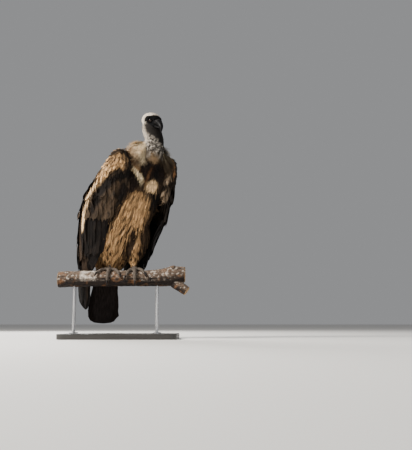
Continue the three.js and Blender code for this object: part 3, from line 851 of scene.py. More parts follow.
def shape_set(name, make, count, seed):
    """A collection of like shapes that differ by chance."""
    chance = np.random.default_rng(seed)
    group = bpy.data.collections.new(name)
    for k in range(count):
        obj = make(f"{name}_{k}", chance)
        bpy.context.scene.collection.objects.unlink(obj)
        group.objects.link(obj)
    return group


# ------------------------------------------------------------------ laying the coat


def add(tree, kind, inputs=None, **settings):
    """A node with its settings and inputs. An input is a value or another node's socket."""
    made = tree.nodes.new(kind)
    for key, value in settings.items():
        setattr(made, key, value)
    for key, value in (inputs or {}).items():
        if isinstance(value, bpy.types.NodeSocket):
            tree.links.new(value, made.inputs[key])
        else:
            made.inputs[key].default_value = value
    return made


LAYING = [
    ("Skin", "NodeSocketGeometry", None),
    ("Shapes", "NodeSocketCollection", None),
    ("Finish", "NodeSocketMaterial", None),
    ("Grows Where", "NodeSocketString", ""),
    ("Spacing", "NodeSocketFloat", 0.01),
    ("Length", "NodeSocketFloat", 0.05),
    ("Breadth", "NodeSocketFloat", 0.015),
    ("Depth", "NodeSocketFloat", 1.0),
    ("Splay", "NodeSocketFloat", 0.1),
    ("Lift", "NodeSocketFloat", 0.0),
    ("Looseness", "NodeSocketFloat", 0.3),
    ("Variation", "NodeSocketFloat", 0.15),
    ("Tone", "NodeSocketFloat", 0.15),
    ("Seed", "NodeSocketInt", 1),
]
PATCH = 0.003


def laying_tree():
    """Geometry Nodes that set tufts on the skin, lay them along it and give each its colours."""
    tree = bpy.data.node_groups.new("Lay Tufts", "GeometryNodeTree")
    for name, kind, default in LAYING:
        socket = tree.interface.new_socket(name=name, in_out="INPUT", socket_type=kind)
        if default is not None:
            socket.default_value = default
    tree.interface.new_socket(name="Coat", in_out="OUTPUT", socket_type="NodeSocketGeometry")
    given = tree.nodes.new("NodeGroupInput").outputs
    result = tree.nodes.new("NodeGroupOutput")

    def maths(operation, a, b=None):
        return add(tree, "ShaderNodeMath", {0: a} if b is None else {0: a, 1: b}, operation=operation).outputs[0]

    def vectors(operation, a, b, out=0, scale=None):
        inputs = {0: a} if b is None else {0: a, 1: b}
        if scale is not None:
            inputs["Scale"] = scale
        return add(tree, "ShaderNodeVectorMath", inputs, operation=operation).outputs[out]

    def named(name, kind="FLOAT"):
        return add(tree, "GeometryNodeInputNamedAttribute", {"Name": name}, data_type=kind).outputs["Attribute"]

    def chance(low, high, shift):
        seed = maths("ADD", given["Seed"], float(shift))
        return add(tree, "FunctionNodeRandomValue", {2: low, 3: high, "Seed": seed}, data_type="FLOAT").outputs[1]

    def store(geometry, name, value, kind, domain="POINT"):
        node = add(
            tree,
            "GeometryNodeStoreNamedAttribute",
            {"Geometry": geometry, "Name": name, "Value": value},
            data_type=kind,
            domain=domain,
        )
        return node.outputs[0]

    most = maths("DIVIDE", 2.2, maths("MULTIPLY", given["Spacing"], given["Spacing"]))
    points = add(
        tree,
        "GeometryNodeDistributePointsOnFaces",
        {
            "Mesh": given["Skin"],
            "Distance Min": given["Spacing"],
            "Density Max": most,
            "Density Factor": named(given["Grows Where"]),
            "Seed": given["Seed"],
        },
        distribute_method="POISSON",
    ).outputs["Points"]
    vary = lambda shift: maths("ADD", 1.0, maths("MULTIPLY", given["Variation"], chance(-1.0, 1.0, shift)))
    size = named("size")
    length = maths("MULTIPLY", maths("MULTIPLY", given["Length"], size), vary(1))
    breadth = maths("MULTIPLY", maths("MULTIPLY", given["Breadth"], size), vary(2))
    points = store(points, "root_map", named("OFBake", "FLOAT_VECTOR"), "FLOAT_VECTOR")
    points = store(points, "girth", breadth, "FLOAT")
    points = store(points, "quill", chance(0.0, 1.0, 3), "FLOAT")
    tone = maths("ADD", 1.0, maths("MULTIPLY", given["Tone"], chance(-1.0, 1.0, 4)))
    tinted = vectors("SCALE", named("CoatTint", "FLOAT_VECTOR"), None, scale=tone)
    points = store(points, "Tint", tinted, "FLOAT_COLOR")

    facing = add(
        tree,
        "FunctionNodeAxesToRotation",
        {0: named("up", "FLOAT_VECTOR"), 1: named("lie", "FLOAT_VECTOR")},
        primary_axis="Z",
        secondary_axis="X",
    ).outputs[0]
    splay = maths("MULTIPLY", given["Splay"], chance(-1.0, 1.0, 5))
    lift = maths("MULTIPLY", given["Lift"], chance(-1.4, -0.6, 6))
    for axis, angle in (((0, 0, 1), splay), ((0, 1, 0), lift)):
        by = add(tree, "FunctionNodeAxisAngleToRotation", {"Axis": axis, "Angle": angle}).outputs[0]
        facing = add(tree, "FunctionNodeRotateRotation", {0: facing, 1: by}, rotation_space="LOCAL").outputs[0]

    shapes = add(
        tree,
        "GeometryNodeCollectionInfo",
        {"Collection": given["Shapes"], "Separate Children": True, "Reset Children": True},
    ).outputs[0]
    scale = add(tree, "ShaderNodeCombineXYZ", {0: length, 1: breadth, 2: breadth}).outputs[0]
    pick = add(tree, "FunctionNodeRandomValue", {4: 0, 5: 99, "Seed": given["Seed"]}, data_type="INT").outputs[2]
    tufts = add(
        tree,
        "GeometryNodeInstanceOnPoints",
        {"Points": points, "Instance": shapes, "Pick Instance": True, "Instance Index": pick, "Rotation": facing, "Scale": scale},
    ).outputs[0]
    tufts = add(tree, "GeometryNodeRealizeInstances", {0: tufts}).outputs[0]

    position = tree.nodes.new("GeometryNodeInputPosition").outputs[0]
    sampled = lambda value: add(
        tree, "GeometryNodeSampleNearestSurface", {"Mesh": given["Skin"], "Value": value}, data_type="FLOAT_VECTOR"
    ).outputs[0]
    below, up = sampled(position), sampled(named("up", "FLOAT_VECTOR"))
    height = vectors("DOT_PRODUCT", vectors("SUBTRACT", position, below), up, out="Value")
    own = maths("MULTIPLY", named("rise"), named("girth"))
    depth = maths("MULTIPLY", maths("MULTIPLY", named("depth"), given["Depth"]), named("along"))
    astray = maths("MAXIMUM", maths("SUBTRACT", height, own), 0.0)
    wanted = maths("ADD", maths("ADD", depth, own), maths("MULTIPLY", astray, given["Looseness"]))
    offset = vectors("SCALE", up, None, scale=maths("SUBTRACT", wanted, height))
    tufts = add(tree, "GeometryNodeSetPosition", {"Geometry": tufts, "Offset": offset}).outputs[0]
    tufts = add(tree, "GeometryNodeSetShadeSmooth", {"Geometry": tufts, "Shade Smooth": True}).outputs[0]

    patch = vectors("SCALE", vectors("SUBTRACT", named("Vane", "FLOAT_VECTOR"), (0.5, 0.5, 0.0)), None, scale=PATCH)
    tufts = store(tufts, "OFBake", vectors("ADD", patch, named("root_map", "FLOAT_VECTOR")), "FLOAT2", "CORNER")
    tufts = add(tree, "GeometryNodeSetMaterial", {"Geometry": tufts, "Material": given["Finish"]}).outputs[0]
    tree.links.new(tufts, result.inputs[0])
    return tree


KEPT_ATTRIBUTES = {"position", "Tint", "quill", "Vane", "OFBake", "material_index", "sharp_face"}


def lay_coat(skin, tree, name, **inputs):
    """One kind of feather laid on the skin, as a plain mesh object."""
    base = bpy.data.objects.new(name + "_base", skin.data)
    bpy.context.scene.collection.objects.link(base)
    modifier = base.modifiers.new("Lay", "NODES")
    modifier.node_group = tree
    sockets = {item.name: item.identifier for item in tree.interface.items_tree if item.in_out == "INPUT"}
    for key, value in inputs.items():
        modifier[sockets[key.replace("_", " ").title()]] = value
    coat = only_mesh(base, name)
    bpy.data.objects.remove(base)
    for spare in [a.name for a in coat.data.attributes if a.name not in KEPT_ATTRIBUTES and a.name[0] != "."]:
        coat.data.attributes.remove(coat.data.attributes[spare])
    return coat


# ------------------------------------------------------------------ long feathers


OVERHANG = 14.0


class Wing:
    """The outer face of a folded wing, read off its solids in the bird's frame."""

    def __init__(self, name):
        self.side = SIDES[name]
        nodes = [f"wing_{name}_{row}" for row in ("coverts", "secondaries", "primaries")]
        self.points, triangles, _ = joined_solids(nodes, BIRD.inverted())
        self.tree = surface_tree(self.points, triangles)
        pairs = np.concatenate([triangles[:, [0, 1]], triangles[:, [1, 2]], triangles[:, [2, 0]]])
        self.ends = np.unique(np.sort(pairs, axis=1), axis=0)

    def edges(self, z):
        """The leading and trailing edge at a height."""
        a, b = self.points[self.ends[:, 0]], self.points[self.ends[:, 1]]
        cross = (a[:, 2] - z) * (b[:, 2] - z) < 0
        a, b = a[cross], b[cross]
        if not len(a):
            return None
        y = a[:, 1] + (b[:, 1] - a[:, 1]) * (z - a[:, 2]) / (b[:, 2] - a[:, 2])
        return y.min(), y.max()

    def on(self, y, z):
        """The outer face's point and normal at a place fore and aft and a height. A place past
        an edge gives the edge's point moved out to it."""
        span = self.edges(z)
        past = 0.0
        if span is not None:
            inside = min(max(y, span[0] + 3), span[1] - 3)
            past, y = min(max(y - inside, 0), OVERHANG), inside
        start = Vector((self.side * 400, y, z))
        for shift in (0, 1.5, -1.5, 4, -4):
            at, normal, _, _ = self.tree.ray_cast(start + Vector((0, shift, shift)), Vector((-self.side, 0, 0)))
            if at is not None:
                return np.array(at) + (0, past, 0), np.array(normal)
        at, normal, _, _ = self.tree.find_nearest(Vector((self.side * 150, y, z)))
        return np.array(at) + (0, past, 0), np.array(normal)


class Vanes:
    """Long feathers gathered into one mesh, each with its own place on the map."""

    ACROSS = np.array([-1, -0.72, -0.4, -0.06, 0, 0.06, 0.4, 0.72, 1.0])

    def __init__(self, seed):
        self.chance = np.random.default_rng(seed)
        self.points, self.faces, self.vane, self.tint, self.quill = [], [], [], [], []
        self.count = 0

    def lay(self, path, outward, half, tint, back, tilt=0.0, crown=1.2, shape=None, front=1.0, splits=4):
        """A feather along a path. half is its half width and back the side its wider web is on;
        the other web may be narrower, and tilt lifts its edge over the next feather."""
        path = np.asarray(path, float)
        rows = len(path)
        t = np.linspace(0, 1, rows)
        tangent = unit(np.gradient(path, axis=0))
        outward = unit(outward - tangent * np.sum(outward * tangent, axis=1)[:, None])
        across = unit(np.cross(outward, tangent))
        flip = across.mean(axis=0) @ np.array(back, float) < 0
        across = -across if flip else across
        width = half * (shape(t) if shape else smooth(-0.1, 0.12, t) * (1 - smooth(0.86, 1.04, t) ** 1.5))
        start = sum(len(p) for p in self.points)
        grid = []
        notch = {-1: np.zeros(rows), 1: np.zeros(rows)}
        for _ in range(splits):
            deep = self.chance.uniform(0.08, 0.3)
            web = self.chance.choice([-1, 1])
            notch[web][self.chance.integers(rows // 3, rows - 1)] = deep
        wave = self.chance.uniform(-0.6, 0.6)
        for a in self.ACROSS:
            web = front if a < 0 else 1.0
            cut = 1 - notch[-1 if a < 0 else 1] * abs(a) ** 3
            reach = a * web * width * cut
            height = crown * (1 - abs(a) ** 1.5) - tilt * a * width
            height = height - 0.02 * abs(a) ** 3 * half + wave * np.sin(5 * t) * abs(a)
            # The barbs sweep towards the tip, so an edge lies further on than its shaft.
            sweep = np.abs(reach)[:, None] * tangent * (0.5 * (t < 0.93))[:, None]
            shaft = 0.7 * (a == 0) * (1 - t)
            raised = outward * (height + shaft)[:, None]
            grid.append(path + across * reach[:, None] + raised + sweep * (t[:, None] < 0.97))
        grid = np.stack(grid, axis=1)
        self.points.append(grid.reshape(-1, 3))
        columns = len(self.ACROSS)
        for i in range(rows - 1):
            for k in range(columns - 1):
                q = start + i * columns + k
                quad = (q, q + 1, q + columns + 1, q + columns)
                self.faces.append(quad if flip else quad[::-1])
        u = np.tile(0.5 + 0.5 * self.ACROSS, rows)
        v = np.repeat(t, columns)
        self.vane.append(np.column_stack([u, v]))
        tone = self.chance.uniform(0.8, 1.2)
        self.tint.append(np.tile(np.array(tint) * tone, (rows * columns, 1)))
        self.quill.append(np.full(rows * columns, self.chance.uniform(0, 1)))
        self.count += 1

    def mesh(self, name, matrix, marked=None):
        """The feathers as one object, with a strip of the map for each. marked adds markings."""
        tint = np.concatenate(self.tint)
        if marked is not None:
            tint = marked(tint, np.concatenate(self.points))
        points = place(matrix, np.concatenate(self.points))
        obj = mesh_object(name, points, self.faces)
        corners = np.empty(len(obj.data.loops), np.int64)
        obj.data.loops.foreach_get("vertex_index", corners)
        vane = np.concatenate(self.vane)
        rows = max(1, math.ceil(self.count / 32))
        per_row = math.ceil(self.count / rows)
        index = np.concatenate([np.full(len(v), i) for i, v in enumerate(self.vane)])
        strip_u = (index % per_row + 0.06 + 0.88 * vane[:, 0]) / per_row
        strip_v = (index // per_row + 0.03 + 0.94 * vane[:, 1]) / rows
        put_attribute(obj.data, "Vane", "FLOAT2", "CORNER", vane[corners])
        put_attribute(obj.data, "OFBake", "FLOAT2", "CORNER", np.column_stack([strip_u, strip_v])[corners])
        put_attribute(obj.data, "Tint", "FLOAT_COLOR", "POINT", tint)
        put_attribute(obj.data, "quill", "FLOAT", "POINT", np.concatenate(self.quill))
        return obj


def between(stops, f):
    """A place along a list of evenly spread stops."""
    stops = np.asarray(stops, float)
    x = f * (len(stops) - 1)
    i = min(int(x), len(stops) - 2)
    return stops[i] + (stops[i + 1] - stops[i]) * (x - i)


# Rows of long feathers on each wing, from the lowest layer to the top one. Roots and tips are
# places fore and aft and heights, from the leading to the trailing side; sizes are half widths.
WING_ROWS = {
    "right": [
        dict(count=11, roots=[(-118, 262), (-40, 262), (70, 258)],
            tips=[(34, 14), (70, -6), (100, -62), (110, -120), (132, -150), (152, -165), (182, -138), (198, -112)],
             half=(22, 26), depth=(-7, -3), tint="flight", tilt=0.10, front=0.55),
        dict(count=15, roots=[(-112, 300), (0, 306), (112, 300)], tips=[(6, 66), (60, 58), (112, 34), (160, -6)],
             half=(23, 30), depth=(-4, 1), tint="flight", tilt=0.12, front=0.7),
        dict(count=5, roots=[(70, 356), (100, 352), (118, 340)], tips=[(112, 92), (146, 112), (170, 150)],
             half=(26, 30), depth=(0, 4), tint="coverts", tilt=0.12, front=0.9),
        dict(count=15, roots=[(-150, 338), (-20, 352), (108, 366)], tips=[(-72, 196), (-20, 196), (60, 202), (166, 226)],
             half=(22, 28), depth=(-3, 2.5), tint="coverts", tilt=0.14, front=0.9),
        dict(count=15, roots=[(-166, 392), (-60, 404), (66, 418)], tips=[(-116, 282), (-50, 278), (40, 282), (140, 300)],
             half=(19, 25), depth=(-6, 3.5), tint="coverts", tilt=0.16, front=1.0),
        dict(count=8, roots=[(-98, 436), (-38, 402), (28, 364), (74, 330), (104, 296)],
             tips=[(-26, 374), (44, 336), (108, 294), (148, 254), (170, 212)],
             half=(15, 21), depth=(-8, 3), tint="mantle", tilt=0.10, front=1.0),
    ],
    "left": [
        dict(count=11, roots=[(-132, 262), (-40, 262), (60, 258)], tips=[(-20, 10), (30, 2), (100, -34), (140, -46)],
             half=(22, 26), depth=(-7, -3), tint="flight", tilt=0.10, front=0.55),
        dict(count=15, roots=[(-136, 300), (0, 306), (100, 300)], tips=[(-84, 100), (-20, 60), (60, 30), (140, -6)],
             half=(23, 30), depth=(-4, 1), tint="flight", tilt=0.12, front=0.7),
        dict(count=5, roots=[(60, 356), (90, 352), (104, 340)], tips=[(92, 92), (126, 112), (150, 150)],
             half=(26, 30), depth=(0, 4), tint="coverts", tilt=0.12, front=0.9),
        dict(count=15, roots=[(-150, 344), (-20, 352), (96, 366)], tips=[(-116, 206), (-40, 200), (50, 202), (146, 226)],
             half=(22, 28), depth=(-3, 2.5), tint="coverts", tilt=0.14, front=0.9),
        dict(count=15, roots=[(-166, 398), (-60, 408), (56, 420)], tips=[(-140, 292), (-50, 282), (40, 286), (126, 304)],
             half=(19, 25), depth=(-6, 3.5), tint="coverts", tilt=0.16, front=1.0),
    ],
}


def covert_outline(t):
    """How wide a long covert is along its length: slim at the root and rounded at the tip."""
    return smooth(-0.25, 0.1, t) * (1 - smooth(0.72, 1.02, t) ** 1.5)


def tail_outline(t):
    """How wide a tail feather is along its length: nearly even, with a blunt tip."""
    return smooth(-0.15, 0.2, t) * (1 - smooth(0.93, 1.03, t) ** 1.3)


def make_wing_feathers(name, tints):
    """A wing's long feathers, in rows that overlap like shingles."""
    wing = Wing(name)
    vanes = Vanes(11 if name == "right" else 12)
    chance = vanes.chance
    for row in WING_ROWS[name]:
        for k in range(row["count"]):
            f = k / (row["count"] - 1)
            root, tip = between(row["roots"], f), between(row["tips"], f)
            tip = tip + chance.uniform(-1, 1, 2) * (3, 6)
            half = row["half"][0] + (row["half"][1] - row["half"][0]) * f
            low, high = row["depth"]
            stations = np.linspace(0, 1, 22)
            found = [wing.on(*(root + (tip - root) * t)) for t in stations]
            normal = unit(relax_rows(np.array([n for _, n in found]), 10))
            path = relax_rows(np.array([at for at, _ in found]), 8)
            # Each feather starts under its neighbours and comes to its own height at the tip.
            lift = low + (high - low) * smooth(0, 0.7, stations) + 0.25 * k / row["count"]
            flare = 11 * chance.uniform(0, 1) ** 2 * smooth(0.62, 1.0, stations)
            path = path + normal * (lift + flare)[:, None]
            tint = np.array(tints[row["tint"]])
            shape = covert_outline if row["tint"] == "coverts" else None
            front = row["front"] * (0.4 if k == 0 else 1)
            vanes.lay(path, normal, half, tint, (0, 1, 0), tilt=row["tilt"], shape=shape, front=front)

    def marked(tint, points):
        return wing_markings(tints, tint, points, name)

    return vanes.mesh(f"wing_feathers_{name}", BIRD, marked)


def relax_rows(rows, times):
    """Rows of points evened out along their line, with the ends kept."""
    rows = rows.copy()
    for _ in range(times):
        rows[1:-1] += 0.5 * ((rows[:-2] + rows[2:]) / 2 - rows[1:-1])
    return rows


def make_tail(tints):
    """Twelve tail feathers in a narrow fan, the middle pair on top."""
    points, triangles, _ = joined_solids(["tail"], BIRD.inverted())
    tree = surface_tree(points, triangles)
    vanes = Vanes(21)
    stations = np.linspace(0, 1, 14)
    for k in (0, 11, 1, 10, 2, 9, 3, 8, 4, 7, 5, 6):
        f = (k / 11) * 2 - 1
        root = np.array([f * 25, 128, 66])
        tip = np.array([f * 58 - 3, 152, -221 + 12 * f * f + vanes.chance.uniform(-4, 7)])
        line = root + (tip - root) * stations[:, None]
        path, normal = [], []
        for at in line:
            hit, n, _, _ = tree.ray_cast(Vector((at[0], 400, at[2])), Vector((0, -1, 0)))
            if hit is None:
                hit, n, _, _ = tree.find_nearest(Vector((at[0], 190, at[2])))
            path.append(hit)
            normal.append(n)
        path = relax_rows(np.array(path), 3)
        normal = np.tile([f * 0.25, 0.96, 0.1], (len(path), 1))
        path = path + normal * (-2.5 + 2.6 * (1 - abs(f)))
        # The tail is made browner than the wings' quills, partly as painted light.
        tint = 0.5 * (tints["flight"] + tints["crop"])
        vanes.lay(path, normal, 19.5, tint, (np.sign(f), 0, 0), tilt=-0.05, shape=tail_outline)
    return vanes.mesh("tail_feathers", BIRD)


LINING_INSET = 4.0
LINING_EDGE = 9.0


def make_wing_lining(name):
    """The inside of a wing's long feathers and the tail's: the same bodies, a little thinner."""
    nodes = [f"wing_{name}_secondaries", f"wing_{name}_primaries"] if name in SIDES else ["tail"]
    work = bmesh.new()
    for node in nodes:
        work.from_mesh(frame["nodes"][node].data)
    bmesh.ops.remove_doubles(work, verts=work.verts, dist=1e-5)
    for _ in range(3):
        long = [e for e in work.edges if e.calc_length() > LINING_EDGE * MM]
        bmesh.ops.subdivide_edges(work, edges=long, cuts=1)
        bmesh.ops.triangulate(work, faces=[f for f in work.faces if len(f.verts) > 3])
    mesh = bpy.data.meshes.new(f"{'wing_' + name if name in SIDES else name}_lining")
    work.to_mesh(mesh)
    work.free()
    obj = bpy.data.objects.new(mesh.name, mesh)
    bpy.context.scene.collection.objects.link(obj)
    mesh.shade_smooth()
    co, ends = coordinates(mesh), edge_ends(mesh)
    out = unit(relaxed(normals(mesh), ends, 2))
    tree = BVHTree.FromPolygons(co.tolist(), [tuple(f.vertices) for f in mesh.polygons])
    inset = relaxed(np.minimum(LINING_INSET * MM, 0.3 * room_inside(co, out, tree, 0.03)), ends, 4)
    set_coordinates(mesh, co - out * inset[:, None])
    return obj


# ------------------------------------------------------------------ bill, eyes and claws

# Rows of the bill in the head's frame: x, y, z, half width, under and over.
UPPER_BILL = [
    (0, -24, 1, 9, 6, 8), (0, -34, 1, 14, 9, 11.5), (0, -48, 0.5, 13.4, 9.5, 12.5), (0, -62, -2.5, 11.5, 9, 12),
    (0, -74, -9, 8.6, 7.5, 10), (0, -81, -18, 5.2, 5, 6.5), (0, -83.5, -28, 2.6, 2.6, 3), (0, -83, -33, 0.8, 0.8, 0.8),
]
LOWER_BILL = [
    (0, -22, -15, 8, 5, 4), (0, -34, -16, 12.4, 7, 6), (0, -50, -15.5, 10.6, 6.2, 6), (0, -64, -14.5, 7.6, 4.6, 5),
    (0, -72, -14.5, 3, 2.2, 2.4),
]
CERE_EDGE = -47.0


def make_bill():
    """Upper and lower bill: a cere with slit nostrils, a ridged culmen, a cutting edge and a hook."""
    made = []
    for name, rows, count in (("bill_upper", UPPER_BILL, 120), ("bill_lower", LOWER_BILL, 70)):
        points, faces = loft(rows, 72, count, power=0.85)
        axis_z = np.interp(-points[:, 1], [-r[1] for r in rows[:7]], [r[2] for r in rows[:7]])
        out = unit((points - np.column_stack([0 * axis_z, points[:, 1], axis_z])) * np.array([1, 0, 1]) + 1e-6)
        if name == "bill_upper":
            edge = CERE_EDGE + 2.5 * np.cos(points[:, 2] * 0.25)
            cere = smooth(-1.2, 1.2, points[:, 1] - edge)
            lift = 0.8 * cere - 0.5 * np.exp(-(((points[:, 1] - edge + 1.6) / 1.1) ** 2))
            slit = np.exp(-(((points[:, 1] + 41.5 + 0.25 * points[:, 2]) / 1.5) ** 2) - ((points[:, 2] - 4.5) / 3.6) ** 2)
            lift -= 3.0 * slit * (np.abs(points[:, 0]) > 5)
            lift += 0.8 * np.exp(-((out[:, 0] / 0.3) ** 2)) * (out[:, 2] > 0) * smooth(-82, -60, points[:, 1])
            lift += 0.35 * np.sin(points[:, 1] * 0.55) * (out[:, 2] < -0.2) * (1 - cere)
            tint = np.where(cere[:, None] > 0.5, colour("131111"), colour("080708"))
            tint = np.where(slit[:, None] > 0.4, colour("050505"), tint)
        else:
            lift = -0.4 * np.exp(-(((points[:, 2] + 16) / 1.2) ** 2))
            tint = np.tile(colour("0a090a"), (len(points), 1))
        points = points + out * lift[:, None]
        obj = mesh_object("horn_" + name, place(HEAD, points), faces)
        outwards(obj.data)
        put_attribute(obj.data, "Tint", "FLOAT_COLOR", "POINT", np.array(tint)[: len(obj.data.vertices)])
        made.append(obj)
    return made


def make_eye(name):
    """An eyeball with a dark iris, a pupil and a slightly raised cornea, turned to its side."""
    side = SIDES[name]
    rings, around, radius = 40, 48, EYE["radius"] - 0.1
    axis = unit(EYE["axis"]) * np.array([side, 1, 1])
    across = unit(np.cross(axis, (0, 0, 1.0)))
    above = np.cross(across, axis)
    polar = np.linspace(0, np.pi, rings + 1)[1:-1]
    angles = np.arange(around) * 2 * np.pi / around
    points, tint = [axis * (radius + 0.7)], [colour("030303")]
    for a in polar:
        size = radius + 0.7 * math.exp(-((a / 0.55) ** 2))
        ring = np.cos(angles)[:, None] * across + np.sin(angles)[:, None] * above
        points += list((axis * math.cos(a) + ring * math.sin(a)) * size)
        reach = radius * math.sin(a)
        shade = "030303" if reach < 3.1 else "24150c" if reach < 5.8 else "120c09"
        tint += [colour(shade)] * around
    points.append(-axis * radius)
    tint.append(colour("140d0a"))
    at = lambda i, k: 1 + i * around + k % around
    faces = [(0, at(0, k), at(0, k + 1)) for k in range(around)]
    for i in range(len(polar) - 1):
        faces += [(at(i, k), at(i + 1, k), at(i + 1, k + 1), at(i, k + 1)) for k in range(around)]
    faces += [(len(points) - 1, at(len(polar) - 1, k + 1), at(len(polar) - 1, k)) for k in range(around)]
    centre = EYE["at"] * np.array([side, 1, 1])
    obj = mesh_object(f"eyeball_{name}", place(HEAD, np.array(points) + centre), faces)
    put_attribute(obj.data, "Tint", "FLOAT_COLOR", "POINT", np.array(tint))
    outwards(obj.data)
    return obj


# Where each toe ends on the branch: how far it has gone along the branch from its foot and the
# last step of that, the turn round the branch in degrees and which way it turns, and how thick.
TOE_ENDS = {
    "right": {"middle": (4, 1, 106, 7), "inner": (-46, -8, 70, 6), "outer": (46, 8, 54, 6), "back": (-11, -2, -76, 6.5)},
    "left": {"middle": (5, 0, 108, 7), "inner": (-32, -5, 78, 6), "outer": (44, 8, 60, 6), "back": (-11, -2, -76, 6.5)},
}
FOOT_AT = {"right": -52, "left": 54}
CLAW = {"turn": (-3, 0, 9, 19, 27), "lift": (-1, 0, 5, 3.5, -3), "thick": (4.4, 4.8, 4.4, 2.8, 0.5)}


def make_claws(side):
    """The four claws of a foot, curved over and down to a point, as one piece."""
    points, faces = [], []
    flip = SIDES[side]
    for toe, (along, step, angle, thick) in TOE_ENDS[side].items():
        way = math.copysign(1, angle)
        rows = []
        for i, (more, lift, half) in enumerate(zip(CLAW["turn"], CLAW["lift"], CLAW["thick"])):
            t = math.radians(angle + way * (3 + more))
            height = PERCH_RADIUS / MM + thick + 1 + lift
            x = FOOT_AT[side] + flip * (along + step * 0.35 * i)
            rows.append((x, -height * math.sin(t), PERCH_AXIS / MM + height * math.cos(t), 0.8 * half, half, half))
        new, sides = loft(rows, 20, 24)
        faces += [tuple(k + len(points) for k in face) for face in sides]
        points += list(new)
    obj = mesh_object(f"claws_{side}", np.array(points) * MM, faces)
    outwards(obj.data)
    tint_all(obj, colour("1b1817"))
    return obj


# ------------------------------------------------------------------ branch


PERCH_HALF = 268
LIMB_CUT = {"point": (276, -11, 197), "inwards": (-0.8, 0.14, 0.58)}


def make_perch():
    """The cut branch: its solid with bark raised on it and its sawn ends kept flat."""
    work = bmesh.new()
    work.from_mesh(frame["nodes"]["perch"].data)
    bmesh.ops.remove_doubles(work, verts=work.verts, dist=1e-5)
    mesh = bpy.data.meshes.new("perch")
    work.to_mesh(mesh)
    work.free()
    obj = bpy.data.objects.new("branch_base", mesh)
    bpy.context.scene.collection.objects.link(obj)
    obj = remeshed(obj, "branch", 2.4)
    mesh = obj.data
    ends = edge_ends(mesh)
    co = relaxed(coordinates(mesh), ends, 2)
    set_coordinates(mesh, co)
    out = unit(relaxed(normals(mesh), ends, 2))
    p = co / MM
    sawn = np.minimum(smooth(3.5, 7, PERCH_HALF - np.abs(p[:, 0])) + (p[:, 0] > 262) * (p[:, 2] < 232), 1.0)
    limb = (p - np.array(LIMB_CUT["point"])) @ unit(LIMB_CUT["inwards"])
    sawn *= np.where(p[:, 2] < 232, smooth(2, 5, limb), 1.0)
    past_limb = (p[:, 2] < 232) & (limb < 6)
    limb_face = smooth(0.45, 0.85, -(out @ unit(LIMB_CUT["inwards"])))
    end_face = smooth(0.5, 0.85, np.abs(out[:, 0])) * (sawn < 0.9)
    sawn_wood = np.where(past_limb, limb_face, end_face)
    long = p * np.array([0.16, 1, 1])
    plates = speckle(long, 6.5, 4.0)
    cracks = -np.abs(speckle(long, 9.0, 11.0)) * 2 + 0.6
    lumps = speckle(p, 16, 7.0)
    crumbs = speckle(p, 3.4, 2.0)
    rise = 0.9 * plates + 1.1 * cracks + 1.0 * lumps + 0.5 * crumbs - 0.6
    set_coordinates(mesh, co + out * (rise * sawn * MM)[:, None])

    bark, pale, low = colour("5a4b3f"), colour("b9aea2"), colour("17120f")
    orange = colour("8a5f3c")
    tint = np.tile(np.array(bark), (len(p), 1)) * (1 + 0.22 * plates + 0.2 * crumbs)[:, None]
    # Painted shade: the branch's underside is darkened.
    tint = blend(tint, low, 0.9 * smooth(-0.4, 0.35, -out[:, 2] + 0.25 * lumps))
    tint = blend(tint, orange, 0.35 * smooth(0.1, 0.6, speckle(p, 20, 15.0)))
    # Pale bleached patches kept to the upper front of the branch, partly bleaching and partly painted light on its top.
    top = smooth(-0.15, 0.5, out[:, 2] - 0.3 * out[:, 1] + 0.25 * crumbs)
    patch = (1 - smooth(24, 40, np.abs(p[:, 0] + 138))) * smooth(-0.25, 0.35, lumps + 0.45 * crumbs + 0.25)
    tint = blend(tint, pale, 0.95 * patch * top)
    tint = blend(tint, pale, 0.6 * smooth(0.15, 0.5, speckle(p, 9, 21.0) + 0.3 * crumbs) * top)
    tint = blend(tint, low, 0.6 * smooth(0.1, 0.5, speckle(p, 6, 31.0)))
    tint = blend(tint, low, 0.7 * smooth(0.25, 0.6, cracks * -1))
    rings = 0.5 + 0.5 * np.sin(np.hypot(p[:, 1] - 3, p[:, 2] - 249) * 0.8 + 1.5 * lumps)
    wood = blend(np.tile(np.array(colour("a38560")), (len(p), 1)), colour("846646"), rings)
    tint = tint + (wood - tint) * sawn_wood[:, None]
    put_attribute(mesh, "Tint", "FLOAT_COLOR", "POINT", np.clip(tint, 0.01, 1))
    return obj


# ------------------------------------------------------------------ finishes


def finish_of(name):
    """A new material: itself, its node tree and its shader."""
    material = bpy.data.materials.new(name)
    material.use_nodes = True
    return material, material.node_tree, material.node_tree.nodes["Principled BSDF"]


